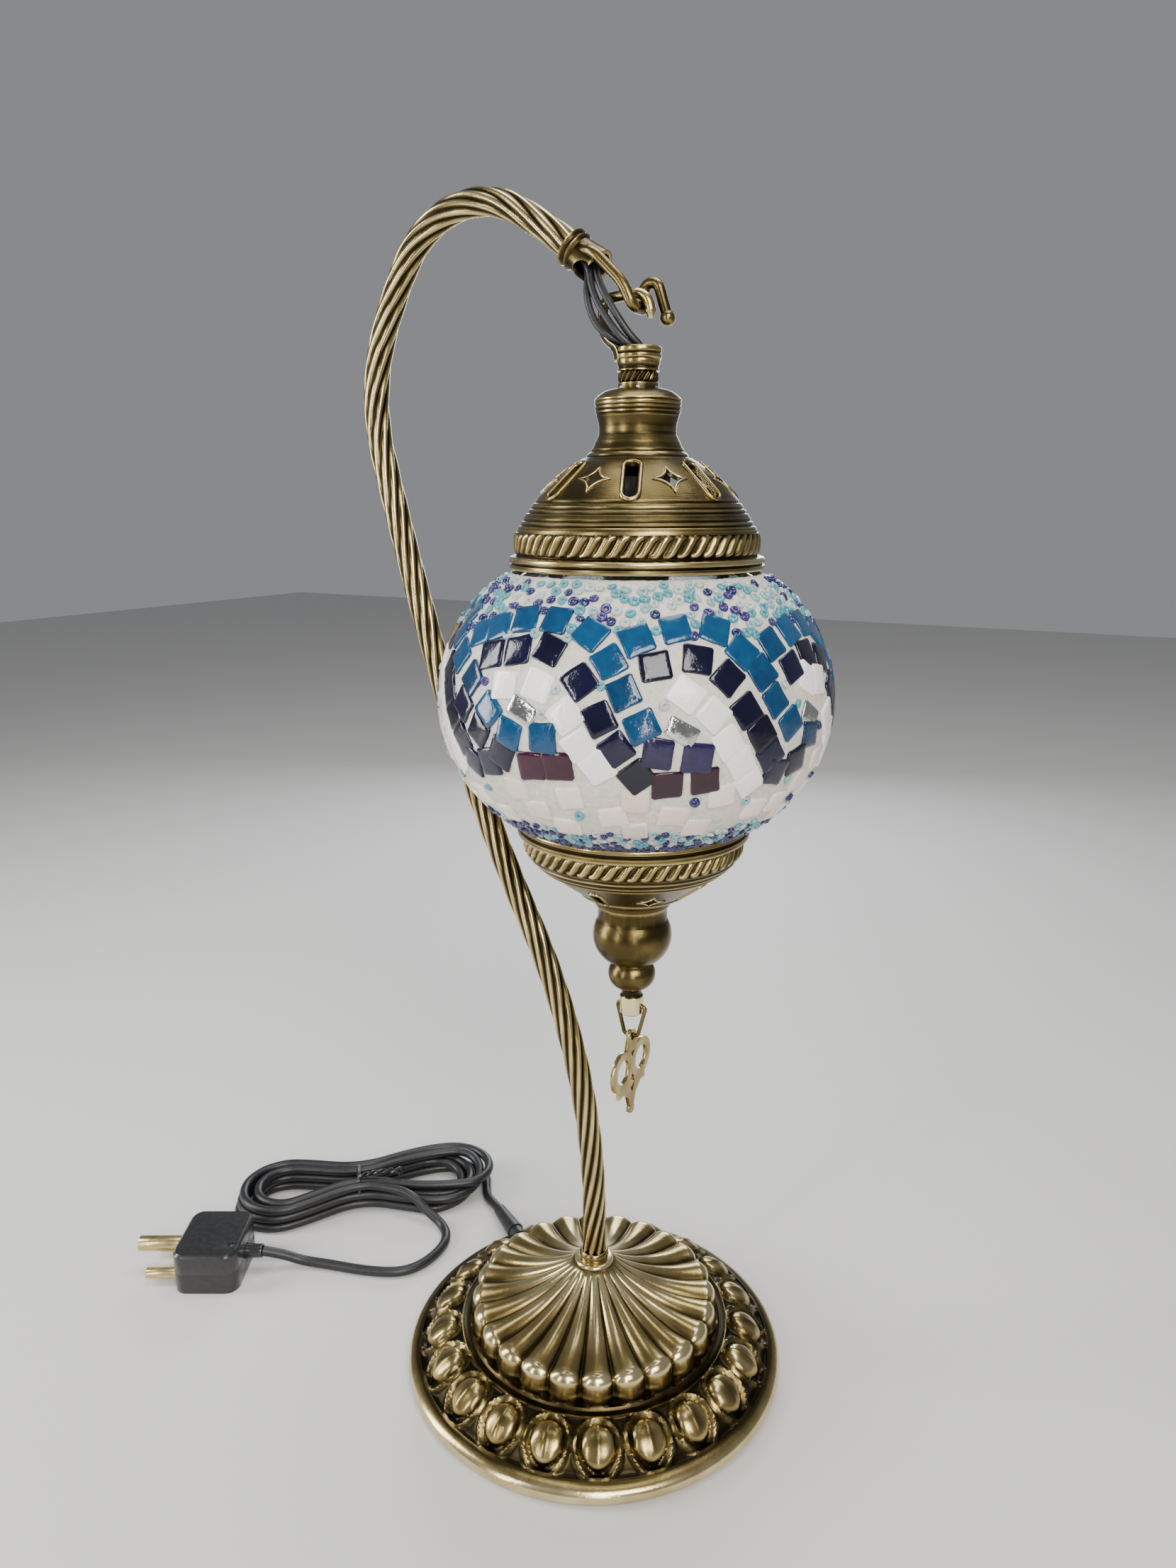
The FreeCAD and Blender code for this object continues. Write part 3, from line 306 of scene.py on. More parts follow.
def joined(pieces):
    """One list of points and one of faces from several (points, faces)."""
    points, faces = [], []
    for more, more_faces in pieces:
        faces += [tuple(i + len(points) for i in f) for f in more_faces]
        points += list(more)
    return points, faces


def grid(rows, around, closed=False, start=0):
    """Faces between rings of points; closed joins the last to the first."""
    faces = []
    for i in range(rows if closed else rows - 1):
        one, two = start + i * around, start + (i + 1) % rows * around
        for k in range(around):
            m = (k + 1) % around
            faces.append((one + k, one + m, two + m, two + k))
    return faces


def lengths(path):
    """How far along a path each of its points is."""
    steps = np.linalg.norm(np.diff(path, axis=0), axis=1)
    return np.concatenate([[0], np.cumsum(steps)])


def arc(start, end, radius, count):
    """Points after start, up to end, on an arc; positive turns left."""
    (x0, y0), (x1, y1) = start, end
    dx, dy = x1 - x0, y1 - y0
    half = math.hypot(dx, dy) / 2
    rise = math.sqrt(max(radius * radius - half * half, 0.0))
    rise = math.copysign(rise, radius)
    cx = (x0 + x1) / 2 - dy / (2 * half) * rise
    cy = (y0 + y1) / 2 + dx / (2 * half) * rise
    a0, a1 = math.atan2(y0 - cy, x0 - cx), math.atan2(y1 - cy, x1 - cx)
    if radius > 0 and a1 < a0:
        a1 += TAU
    if radius < 0 and a1 > a0:
        a1 -= TAU
    return [(cx + abs(radius) * math.cos(a0 + (a1 - a0) * k / count),
             cy + abs(radius) * math.sin(a0 + (a1 - a0) * k / count))
            for k in range(1, count + 1)]


def run(corners, step=1.0):
    """A profile: corners joined by lines, or arcs where a radius is given."""
    out = [tuple(corners[0][:2])]
    for corner in corners[1:]:
        start, end = out[-1], tuple(corner[:2])
        length = math.dist(start, end)
        count = max(1, int(math.ceil(length / step)))
        if len(corner) == 3:
            out += arc(start, end, corner[2], max(4, count))
        else:
            out += [(start[0] + (end[0] - start[0]) * k / count,
                     start[1] + (end[1] - start[1]) * k / count)
                    for k in range(1, count + 1)]
    return np.array(out)


def turned(profile, around, axis_x=0.0, relief=None):
    """Points and faces of a closed profile turned about an upright axis."""
    profile = np.asarray(profile, float)
    if np.allclose(profile[0], profile[-1]):
        profile = profile[:-1]
    rows = len(profile)
    ahead = np.roll(profile, -1, 0) - np.roll(profile, 1, 0)
    size = np.maximum(np.hypot(ahead[:, 0], ahead[:, 1]), 1e-9)
    out_r, out_z = ahead[:, 1] / size, -ahead[:, 0] / size
    theta = np.arange(around) * TAU / around
    depth = np.zeros((rows, around))
    if relief is not None:
        depth = relief(profile[:, 0][:, None], profile[:, 1][:, None],
                       theta[None, :])
    radius = np.maximum(profile[:, 0][:, None] + out_r[:, None] * depth, 0)
    height = profile[:, 1][:, None] + out_z[:, None] * depth
    points = np.stack([axis_x + radius * np.cos(theta),
                       radius * np.sin(theta), height], -1).reshape(-1, 3)
    return points, grid(rows, around, True)


def swept(path, wide, thick, around=16, start_side=(0, 1, 0), relief=None):
    """A bar along a path; wide and thick are half sizes at each point."""
    path = np.asarray(path, float)
    ahead = np.gradient(path, axis=0)
    ahead /= np.linalg.norm(ahead, axis=1)[:, None]
    side = np.asarray(start_side, float)
    rings = []
    turn = np.arange(around) * TAU / around
    for place, way, a, b, s in zip(path, ahead, wide, thick, lengths(path)):
        side = side - way * (side @ way)
        side = side / np.linalg.norm(side)
        up = np.cross(way, side)
        grow = 1.0 if relief is None else relief(turn, s)[:, None]
        rings.append(place + grow * (np.cos(turn)[:, None] * side * a
                                     + np.sin(turn)[:, None] * up * b))
    last = (len(path) - 1) * around
    ends = [tuple(range(around))[::-1], tuple(range(last, last + around))]
    return np.concatenate(rings), grid(len(path), around) + ends


def smooth_path(corners, count, order=3):
    """Even points on a NURBS line through the shape of some corners."""
    curve = bpy.data.curves.new("guide", "CURVE")
    curve.dimensions = "3D"
    curve.resolution_u = 24
    line = curve.splines.new("NURBS")
    line.points.add(len(corners) - 1)
    for point, corner in zip(line.points, corners):
        point.co = (*corner, 1)
    line.order_u = order
    line.use_endpoint_u = True
    guide = bpy.data.objects.new("guide", curve)
    mesh = bpy.data.meshes.new_from_object(guide)
    raw = np.array([v.co[:] for v in mesh.vertices])
    bpy.data.objects.remove(guide)
    bpy.data.curves.remove(curve)
    bpy.data.meshes.remove(mesh)
    reach = lengths(raw)
    wanted = np.linspace(0, reach[-1], count)
    return np.stack([np.interp(wanted, reach, raw[:, k]) for k in range(3)], 1)


def apply_changes(item):
    """Keep what an object's modifiers make of its mesh."""
    graph = bpy.context.evaluated_depsgraph_get()
    made = bpy.data.meshes.new_from_object(item.evaluated_get(graph))
    item.modifiers.clear()
    old, item.data = item.data, made
    bpy.data.meshes.remove(old)


def cut(item, cutters):
    """Take the cutters out of a mesh object."""
    for tool in cutters:
        change = item.modifiers.new("cut", "BOOLEAN")
        change.operation = "DIFFERENCE"
        change.solver = "EXACT"
        change.object = tool
    apply_changes(item)
    for tool in cutters:
        bpy.data.objects.remove(tool)
    item.data.set_sharp_from_angle(angle=math.radians(38))


def paint_node(paint, *names):
    """Give CAD nodes that stay in view a better finish."""
    for name in names:
        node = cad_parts[name]
        node.data.materials.clear()
        node.data.materials.append(paint)


# ------------ cord
CORD_RADIUS = 2.3
LOW_ROW = 2.5                     # the cord's middle where it lies on a table
HANK_START = (-106.0, 78.0)
HANK_WAY = (-0.7653, -0.6437)
ROWS_TIED = (4.0, 8.7, 13.4)
ROWS_LOOSE = (LOW_ROW, 7.2, 11.9)
# each turn of the hank: row, tied half width, loose half width, left reach
TURNS = [(0, 7.2, 20.2, 132.2), (0, 2.4, 14.8, 125.0), (1, 2.4, 14.8, 123.0),
         (1, 7.2, 19.8, 130.7), (2, 2.4, 14.8, 122.0), (2, 7.2, 20.0, 129.2)]
RIGHT_REACH = [12.0, 16.5, 11.5, 6.5, 1.5]
TIE_AT = 70.0                     # how far along the hank the tie sits
SHOULDERS = (42, 98)              # where the turns spread on each side of it


def hank_point(along, across, height):
    """A place by its distances along and across the hank."""
    return (HANK_START[0] + HANK_WAY[0] * along - HANK_WAY[1] * across,
            HANK_START[1] + HANK_WAY[1] * along + HANK_WAY[0] * across, height)


def end_loop(reach, radii, heights, right):
    """Six points round one end of the hank, from one side to the other."""
    points = []
    way = 1 if right else -1
    for k in range(6):
        share = k / 5
        radius = radii[0] + (radii[1] - radii[0]) * share
        climb = min(1.0, max(0.0, (share - 0.2) / 0.6))
        height = heights[0] + (heights[1] - heights[0]) * climb
        angle = math.radians(-90 + 180 * share)
        big = radius * 1.05
        points.append(hank_point(
            reach + way * radius - way * big * math.cos(angle),
            -way * big * math.sin(angle), height))
    return points


def cord_route():
    """The corners of the cord's line, from the boot to the plug."""
    near, far = SHOULDERS
    route = [(-85.7, 54.6, 5.1), (-92.4, 58.9, 3.9), (-99.5, 63.6, LOW_ROW),
             (-104.5, 70.5, LOW_ROW), hank_point(2.5, -3, LOW_ROW),
             hank_point(9, -14, LOW_ROW), hank_point(22, -19.5, LOW_ROW)]
    for k, (row, tied, loose, left) in enumerate(TURNS):
        low, tight = ROWS_LOOSE[row], ROWS_TIED[row]
        half = tied + (loose - tied) * 0.85
        middle = low + (tight - low) * 0.3
        route += [hank_point(near, -half, middle),
                  hank_point(TIE_AT, -tied, tight),
                  hank_point(far, -half, middle)]
        route += end_loop(left, (loose, loose), (low, low), False)
        route += [hank_point(far, half, middle),
                  hank_point(TIE_AT, tied, tight)]
        if k < len(TURNS) - 1:
            after = TURNS[k + 1]
            route.append(hank_point(near, half, middle))
            route += end_loop(RIGHT_REACH[k], (loose, after[2]),
                              (low, ROWS_LOOSE[after[0]]), True)
    route += [hank_point(53, 13.5, 12.8), hank_point(43, 21.0, 12.4),
              hank_point(36, 27.0, 6.0)]
    route += [(x, y, LOW_ROW) for x, y in (
        (-105.5, 33.0), (-97.5, 25.5), (-95.5, 14.0), (-97.5, 2.0),
        (-104.0, -6.5), (-119.0, -13.0), (-136.0, -17.5))]
    return route + [(-149.0, -22.5, 3.2), (-156.5, -27.5, 7.5),
                    (-163.9, -33.0, 10.2)]


def make_tie(paint):
    """The twist tie: two turns round the bundle and two twisted tails."""
    ring = [hank_point(TIE_AT + 1.4 * k / 48, 11.2 * math.cos(TAU * k / 24),
                       8.9 + 7.9 * math.sin(TAU * k / 24)) for k in range(49)]
    bars = [swept(ring, [0.7] * 49, [0.7] * 49, 10, (0, 0, 1))]
    for phase in (0, math.pi):
        tail = []
        for k in range(30):
            share = k / 29
            twist = phase + share * 5 * math.pi
            loose = 0.8 if share < 0.75 else 0.8 + 5 * (share - 0.75)
            height = (17.2 + 1.4 * math.sin(math.pi * share)
                      + loose * math.sin(twist))
            tail.append(hank_point(TIE_AT - 22 * share + 0.2 * math.cos(twist),
                                   6 + loose * math.cos(twist),
                                   min(height, 19.2)))
        bars.append(swept(tail, [0.65] * 30, [0.65] * 30, 8, (0, 0, 1)))
    return put("twist_tie", *joined(bars), paint, "stand", "black_plastic",
               ["cord_tie"])


def make_cord(paint, tie_paint):
    curve = bpy.data.curves.new("mains_cord", "CURVE")
    curve.dimensions = "3D"
    curve.resolution_u = 10
    curve.bevel_depth = CORD_RADIUS * MM
    curve.bevel_resolution = 4
    curve.use_fill_caps = True
    line = curve.splines.new("NURBS")
    route = cord_route()
    line.points.add(len(route) - 1)
    for point, corner in zip(line.points, route):
        point.co = (corner[0] * MM, corner[1] * MM, corner[2] * MM, 1)
    line.order_u = 3
    line.use_endpoint_u = True
    cord = new_object("mains_cord", curve)
    curve.materials.append(paint)
    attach(cord, "stand")
    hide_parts("cord_start", "cord_hank", "cord_tail")
    tie = make_tie(tie_paint)


# ------------ aged surfaces, with painted shade in their hollows
def age_and_shade(item, reach, passes):
    """Mark the ridges of a brass mesh as bright with wear and its hollows as
    dark with patina and painted shade.

    reach is the bend that counts as sharp; each pass spreads the wear.
    """
    mesh = item.data
    count = len(mesh.vertices)
    place = np.zeros(count * 3, np.float32)
    mesh.vertices.foreach_get("co", place)
    place = place.reshape(-1, 3).astype(float)
    normal = np.array([v.normal[:] for v in mesh.vertices])
    ends = np.zeros(len(mesh.edges) * 2, np.int32)
    mesh.edges.foreach_get("vertices", ends)
    a, b = ends.reshape(-1, 2).T
    gap = place[b] - place[a]
    square = np.maximum((gap ** 2).sum(1), 1e-10)
    bend = np.zeros(count)
    share = np.zeros(count)
    np.add.at(bend, a, -(gap * normal[a]).sum(1) / square)
    np.add.at(bend, b, (gap * normal[b]).sum(1) / square)
    np.add.at(share, a, 1)
    np.add.at(share, b, 1)
    # dark in the hollows: patina together with painted shade; bright on the
    # ridges: wear
    wear_and_shade = 0.5 + 0.5 * np.tanh(2 * bend / np.maximum(share, 1) / reach)
    for _ in range(passes):
        total = wear_and_shade.copy()
        number = np.ones(count)
        np.add.at(total, a, wear_and_shade[b])
        np.add.at(total, b, wear_and_shade[a])
        np.add.at(number, a, 1)
        np.add.at(number, b, 1)
        wear_and_shade = total / number
    layer = mesh.attributes.get("wear_and_shade") or mesh.attributes.new(
        "wear_and_shade", "FLOAT", "POINT")
    layer.data.foreach_set("value", wear_and_shade.astype(np.float32))


def dressed(node, paint, body, reach=None):
    """A copy of a CAD node's own shape, rounded, and aged where it's brass,
    with painted shade in its hollows.
    """
    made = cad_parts[node].data.copy()
    made.name = node + "_look"
    made.transform(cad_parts[node].matrix_world)
    item = new_object(node + "_look", made)
    made.materials.clear()
    made.materials.append(paint)
    clean(made)
    change = item.modifiers.new("round", "BEVEL")
    change.width = 0.00018
    change.segments = 2
    change.limit_method = "ANGLE"
    change.angle_limit = math.radians(32)
    change.use_clamp_overlap = True
    apply_changes(item)
    item.data.shade_smooth()
    item.data.set_sharp_from_angle(angle=math.radians(35))
    if reach is not None:
        age_and_shade(item, reach, 2)
    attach(item, body)
    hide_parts(node)
    return item


# ------------ base
EGGS, LOBES = 21, 24              # how many stand round the tier and the dome


def base_relief(radius, height, theta):
    """Eggs round the tier and lobes over the dome: heights on the profile."""
    tier = np.clip((75.0 - radius) / 17.9, 0, 1)
    on_tier = ((height > 8.1) & (height < 19.6) & (radius > 57.1)
               & (radius < 75.2))
    cell = (theta * EGGS / TAU) % 1 - 0.5
    oval = np.sqrt((cell / 0.47) ** 2 + ((tier - 0.5) / 0.53) ** 2)
    swell = np.sqrt(np.clip(1 - (oval / 0.70) ** 2, 0, 1))
    crest = np.exp(-(cell / 0.035) ** 2) * swell
    egg = (2.3 * swell + 0.35 * crest - 0.9
           + 1.35 * np.exp(-((oval - 0.92) / 0.10) ** 2)
           - 0.5 * np.exp(-((oval - 0.76) / 0.05) ** 2))
    ends = np.clip(np.minimum(tier, 1 - tier) / 0.04, 0, 1)
    out = np.where(on_tier, egg * ends, 0.0)
    lobe = np.abs(np.cos(LOBES // 2 * theta)) ** 0.62 - 1.0
    fade = np.clip((radius - 9.5) / 30, 0, 1) ** 0.7
    on_dome = (height > 20.2) & (height < 45.4) & (radius > 9.5)
    step = 0.7 * np.exp(-((height - 22.6) / 0.8) ** 2)
    depth = np.where(radius > 49, 2.9 - step, 3.0)
    return out + np.where(on_dome, lobe * depth * fade, 0.0)


def make_base(paint):
    outer = run([(76.6, 0.8), (77.4, 0.8), (78.0, 0.8), (78.0, 7.2, 3.56),
                 (76.9, 7.7), (75.4, 8.2), (74.9, 8.7), (73.8, 8.8),
                 (73.2, 9.2), (57.6, 19.3, 22.0), (56.6, 19.4, 0.8),
                 (55.2, 18.9), (54.0, 19.0), (53.0, 20.3), (52.4, 27.5),
                 (48.5, 31.8, 4.6), (9.0, 45.2, -66.0), (8.2, 45.6),
                 (7.4, 47.2, 1.3)], 0.75)
    inner = run([(4.95, 47.2), (4.95, 45.6), (8.0, 43.8), (46.4, 29.0, 75.0),
                 (49.0, 26.6, -4.0), (49.0, 18.0), (56.5, 17.6),
                 (71.8, 7.8, -22.0), (74.0, 7.2), (76.3, 6.0), (76.6, 0.8)], 3)
    profile = np.concatenate([outer, inner])

    def relief(radius, height, theta):
        depth = base_relief(radius, height, theta)
        depth = np.array(np.broadcast_to(depth, (len(radius), theta.shape[1])))
        depth[len(outer):] = 0
        return depth

    item = put("base_casting", *turned(profile, 504, 0.0, relief), paint,
               "stand", "antique_brass", ["base_shell"])
    age_and_shade(item, 150, 5)


# ------------ neck
NECK_FOOT, NECK_RADIUS = 47.2, 4.9
NECK_TWIST = 120.0                # length of one full turn of the flutes
# arcs of the neck from the base up: turn in degrees, length
NECK = [(0, 21), (27, 132), (-9, 105), (-4, 88), (-36, 46), (-11, 26),
        (-86, 56), (-8, 24)]


def neck_line(step=1.0):
    x, z, heading = 0.0, NECK_FOOT, 0.0
    points = [(x, 0.0, z)]
    for turn, length in NECK:
        count = int(round(length / step))
        for _ in range(count):
            piece = length / count
            heading += math.radians(turn) / count / 2
            x -= math.sin(heading) * piece
            z += math.cos(heading) * piece
            heading += math.radians(turn) / count / 2
            points.append((x, 0.0, z))
    return np.array(points)


def make_neck(paint):
    path = neck_line()
    wide = np.full(len(path), NECK_RADIUS)

    def relief(turn, s):
        twist = turn - TAU * s / NECK_TWIST
        return 0.835 + 0.165 * np.abs(np.cos(4 * twist)) ** 1.6

    item = put("twisted_neck", *swept(path, wide, wide, 72, relief=relief),
               paint, "stand", "antique_brass", ["swan_neck"], sharp=60)
    age_and_shade(item, 500, 1)


# ------------ rope and rings
def rope_band(name, low, high, radius, strands, lean, paint, node, back=2.2,
              groove=1.4):
    """A band of leaning strands standing out of a ring."""
    middle, half, edge = (low + high) / 2, (high - low) / 2, 0.9
    outer = [(radius - back, low), (radius - edge, low)]
    outer += [(radius - edge * abs(k / 12) ** 4, middle + half * k / 12)
              for k in range(-12, 13)]
    outer += [(radius - edge, high), (radius - back, high)]

    def relief(r, z, theta):
        part = (z - middle) / half
        phase = (theta * strands / TAU + lean * part) % 1 - 0.5
        near = np.clip(1.08 - np.abs(part) ** 3, 0, 1)
        depth = (np.cos(math.pi * phase) - 1) * groove * near
        return np.where(r > radius - 1.2, depth, 0)

    item = put(name, *turned(outer, strands * 12, AXIS, relief), paint,
               "lantern", "antique_brass", [node], sharp=60)
    age_and_shade(item, 750 if radius > 20 else 2500, 1)


def grooved(corners, grooves):
    """A profile with small round-bottomed grooves: (z, half width, depth)."""
    line = run(corners, 0.3)
    ahead = np.gradient(line, axis=0)
    ahead /= np.maximum(np.hypot(ahead[:, 0], ahead[:, 1]), 1e-9)[:, None]
    for height, half, depth in grooves:
        near = np.clip(1 - ((line[:, 1] - height) / half) ** 2, 0, 1)
        line[:, 0] -= ahead[:, 1] * near * depth
        line[:, 1] += ahead[:, 0] * near * depth
    return line


def on_cone(low, high, turn, along, across, lift, bow=0.0):
    """A place on a slope between two (radius, z) ends, about the axis."""
    slope = math.hypot(high[0] - low[0], high[1] - low[1])
    share = 0.5 + along / slope
    radius = low[0] + (high[0] - low[0]) * share
    height = low[1] + (high[1] - low[1]) * share
    out = ((high[1] - low[1]) / slope, -(high[0] - low[0]) / slope)
    if out[0] < 0:
        out = (-out[0], -out[1])
    lift -= along * along * bow
    radius += out[0] * lift
    height += out[1] * lift
    angle = turn + across / max(radius, 1)
    return (AXIS + radius * math.cos(angle), radius * math.sin(angle), height)


def capsule(length, width, count=28):
    """Points round a slot: (along, across)."""
    out = []
    for k in range(count):
        angle = TAU * k / count
        along, across = math.sin(angle), math.cos(angle)
        out.append(((length - width) / 2 * (1 if along > 0 else -1)
                    + width / 2 * along, width / 2 * across))
    return out


def star(size):
    """A four-pointed star with hollow sides: (along, across)."""
    out = []
    for k in range(48):
        angle = TAU * k / 48
        c, s = math.cos(angle), math.sin(angle)
        reach = size / (abs(c) ** 0.62 + abs(s) ** 0.62) ** 1.613
        out.append((reach * s, reach * c))
    return out


def shape_cutter(name, shape, ends, turn, lean=0.0):
    """A bar with the outline of a shape, through a wall."""
    rings = []
    for lift in (-4.0, 4.0):
        rings += [on_cone(*ends, turn, a, b + lean * a, lift)
                  for a, b in shape]
    count = len(shape)
    faces = [tuple(range(count))[::-1], tuple(range(count, 2 * count))]
    mesh = new_mesh(name, rings, faces + grid(2, count))
    clean(mesh)
    return new_object(name, mesh)


def lip(shape, ends, turn, wire, lift, lean=0.0, bow=0.0):
    """A raised edge round an opening."""
    loop = np.array([on_cone(*ends, turn, a, b + lean * a, lift, bow)
                     for a, b in shape])
    around = 8
    ahead = np.roll(loop, -1, 0) - np.roll(loop, 1, 0)
    ahead /= np.maximum(np.linalg.norm(ahead, axis=1), 1e-6)[:, None]
    outward = np.array([math.cos(turn), math.sin(turn), 0.3])
    side = np.cross(ahead, outward)
    side /= np.maximum(np.linalg.norm(side, axis=1), 1e-6)[:, None]
    up = np.cross(side, ahead)
    turns = (np.arange(around) * TAU / around)[None, :, None]
    points = loop[:, None] + wire * (np.cos(turns) * side[:, None]
                                     + np.sin(turns) * up[:, None])
    return points.reshape(-1, 3), grid(len(loop), around, True)


def pierce(cap, paint, ends, first, count, slots, stars, wire, lift,
           lean=0.0, bow=0.0):
    """Cut slots and stars by turns round a cap, each with a raised edge.

    slots and stars each give the size of the opening, then that of its edge.
    """
    tools, rims = [], []
    for k in range(count):
        turn = math.radians(first + k * 360 / count)
        tools.append(shape_cutter("slot", capsule(*slots[0]), ends, turn,
                                  lean))
        rims.append(lip(capsule(*slots[1], 60), ends, turn, wire, lift, lean,
                        bow))
        turn += math.pi / count
        tools.append(shape_cutter("star", star(stars[0]), ends, turn))
        rims.append(lip(star(stars[1]), ends, turn, 0.35, 0.05, 0, bow))
    cut(cap, tools)
    age_and_shade(cap, 700, 2)
    edges = put(cap.name + "_rims", *joined(rims), paint, "lantern",
                "antique_brass", sharp=60)
    age_and_shade(edges, 1800, 0)


def make_caps(paint):
    # the bell that holds the glass from above
    outer = grooved([(38.0, 336.9), (43.9, 336.8), (44.8, 337.8, 1.0),
                     (44.8, 338.5), (44.0, 338.9), (44.0, 339.3),
                     (44.8, 339.8, 0.6), (44.2, 341.2, 1.0), (42.3, 341.8),
                     (41.9, 349.6), (41.8, 350.2), (20.6, 373.0, 59.0),
                     (14.6, 379.5, -12.0), (13.35, 382.0), (13.35, 384.6),
                     (14.7, 388.8, -14.0), (14.9, 393.2), (7.0, 396.6, 9.0),
                     (7.0, 398.5), (4.2, 398.5)],
                    [(352.0, 0.5, 0.5), (353.6, 0.5, 0.4), (356.2, 0.45, 0.5),
                     (357.6, 0.45, 0.4), (359.6, 0.4, 0.4), (374.6, 0.5, 0.4),
                     (376.4, 0.4, 0.3), (388.4, 0.35, 0.35),
                     (389.8, 0.3, 0.3), (391.2, 0.3, 0.3), (392.6, 0.3, 0.3)])
    inner = run([(4.2, 397.3), (6.0, 395.3), (13.4, 392.0, -9.0),
                 (12.1, 384.6), (12.1, 382.0), (13.6, 378.6),
                 (19.6, 372.1), (40.4, 349.6, -58.0), (40.4, 338.0),
                 (38.0, 338.0)], 2)
    bell = put("top_bell", *turned(np.concatenate([outer, inner]), 280, AXIS),
               paint, "lantern", "antique_brass", ["top_cap"])
    pierce(bell, paint, ((35.0, 361.6), (23.0, 372.2)), -67.3, 7,
           ((16.8, 4.4), (18.2, 5.8)), (5.6, 6.0), 0.75, 0.15, bow=1 / 118)
    # the bowl below the glass
    outer = grooved([(36.0, 245.4), (42.6, 245.6), (43.4, 244.8, -0.9),
                     (43.4, 243.9), (42.7, 243.4), (42.7, 242.8),
                     (43.4, 242.2), (43.4, 241.0), (42.4, 240.0, -1.0),
                     (40.6, 239.9), (39.9, 233.3),
                     (33.0, 226.2, -26.0), (17.8, 215.0),
                     (15.0, 213.4), (14.4, 211.2), (2.2, 211.2)],
                    [(231.6, 0.5, 0.5), (229.4, 0.5, 0.45), (227.6, 0.4, 0.4),
                     (216.6, 0.35, 0.45), (215.2, 0.3, 0.3)])
    inner = run([(2.2, 212.4), (13.4, 212.5), (17.0, 216.2),
                 (31.9, 227.2), (38.7, 233.5), (38.7, 244.3),
                 (36.0, 244.3)], 2)
    profile = np.concatenate([outer, inner])[::-1]
    bowl = put("bottom_bowl", *turned(profile, 280, AXIS), paint, "lantern",
               "antique_brass", ["bottom_cap"])
    pierce(bowl, paint, ((20.1, 216.7), (29.5, 223.6)), -93, 4,
           ((11.5, 3.8), (12.6, 5.0)), (5.0, 5.4), 0.6, 0.1, lean=0.12)


# ------------ mosaic
# the middle of the glass's round wall, out from the axis and up, and the
# radius of that wall at the faces of the tiles
SHELL_SIDE, SHELL_MIDDLE, SHELL_ROUND = 19.8, 291.0, 51.5
# tiles by row: kind, then (turn, height) angles in degrees
PATTERN = [
    ("blue", [(-131.2, 31.8), (-123, 24.2), (-113.5, 17.7), (-104.8, 8.3),
              (-97.7, 1.2), (-87.3, 1.4)]),
    ("navy", [(-129, 17.7), (-116.3, 7.4), (-109, -0.6), (-101, -7.3)]),
    ("wine", [(-91.3, -10), (-83.5, -8.5)]),
    ("blue", [(-116.5, 34.8), (-109.2, 38.7), (-99.5, 43.3), (-88.5, 44),
              (-76.5, 39.5), (-70.5, 29.5), (-66.2, 18.9), (-61.8, 7.4)]),
    ("violet", [(-57.7, -2), (-47.5, -4.4)]),
    ("navy", [(-107.2, 27.7), (-98, 31), (-87.7, 32.6), (-77.7, 22),
              (-72.3, 9.7), (-67.9, -0.9), (-62.8, -10.6)]),
    ("wine", [(-54.8, -14.5), (-44.6, -13.4)]),
    ("white", [(-100.2, 17.9), (-89.5, 19.4), (-81, 10), (-77.3, 0),
               (-73, -7.7)]),
    ("mirror", [(-93.2, 10)]),
    ("blue", [(-63.2, 37.4), (-51.7, 41.8), (-39.8, 40.7), (-33, 31.8),
              (-27.8, 23.6), (-24.5, 13), (-18.8, 3.5), (-16.3, -2.7),
              (-9, -3)]),
    ("navy", [(-58.2, 28), (-46.7, 29.8), (-38.8, 22.9), (-34, 10.8),
              (-29.2, 1.9), (-25.5, -6.5), (-22.2, -14.1), (-14, -11.8)]),
    ("white", [(-50.5, 18.3), (-43.5, 10.8), (-39.2, 0.6), (-35, -7.9),
               (-31, -16.5)]),
    ("mirror", [(-51.7, 5.5)]),
    ("blue", [(-21.3, 33), (-10.7, 36.9), (0.8, 37.7)]),
    ("navy", [(-16, 23.3), (-6.5, 26.5), (3, 22.6)]),
    ("white", [(-13, 18), (-3, 16)]), ("mirror", [(-9.8, 4.7)])]
MOTIF = PATTERN[9:13]             # one whole wave; it repeats round the back
MOTIF_BACK = 47                   # turns the wave's crest to 0 degrees
BACK_CRESTS = [-5, 40, 85.5, 130.6, 175.8, 221]
TILE_HALF = 4.85
# a tile's outline from above, with half sizes of 1
TILE_OUTLINE = [(-1, -0.86), (-0.86, -1), (0, -1), (0.86, -1), (1, -0.86),
                (1, 0), (1, 0.86), (0.86, 1), (0, 1), (-0.86, 1), (-1, 0.86),
                (-1, 0)]
# the rings of a tile, from its buried back to its top: (inset, height)
TILE_RINGS = [(0, -1.9), (0, -0.42), (0.12, -0.16), (0.45, 0.0), (1.6, 0.16)]
BEAD_HUES = {"clear": (0.62, 0.72, 0.72), "aqua": (0.10, 0.42, 0.50),
             "navy": (0.012, 0.02, 0.14), "violet": (0.05, 0.035, 0.22),
             "pale": (0.35, 0.58, 0.62)}


def shell_place(theta, psi, lift=0.0):
    radius = SHELL_SIDE + (SHELL_ROUND + lift) * math.cos(psi)
    return np.array([AXIS + radius * math.cos(theta),
                     radius * math.sin(theta),
                     SHELL_MIDDLE + (SHELL_ROUND + lift) * math.sin(psi)])


def shell_frame(theta, psi):
    round_way = np.array([-math.sin(theta), math.cos(theta), 0])
    out = np.array([math.cos(psi) * math.cos(theta),
                    math.cos(psi) * math.sin(theta), math.sin(psi)])
    return round_way, np.cross(out, round_way), out


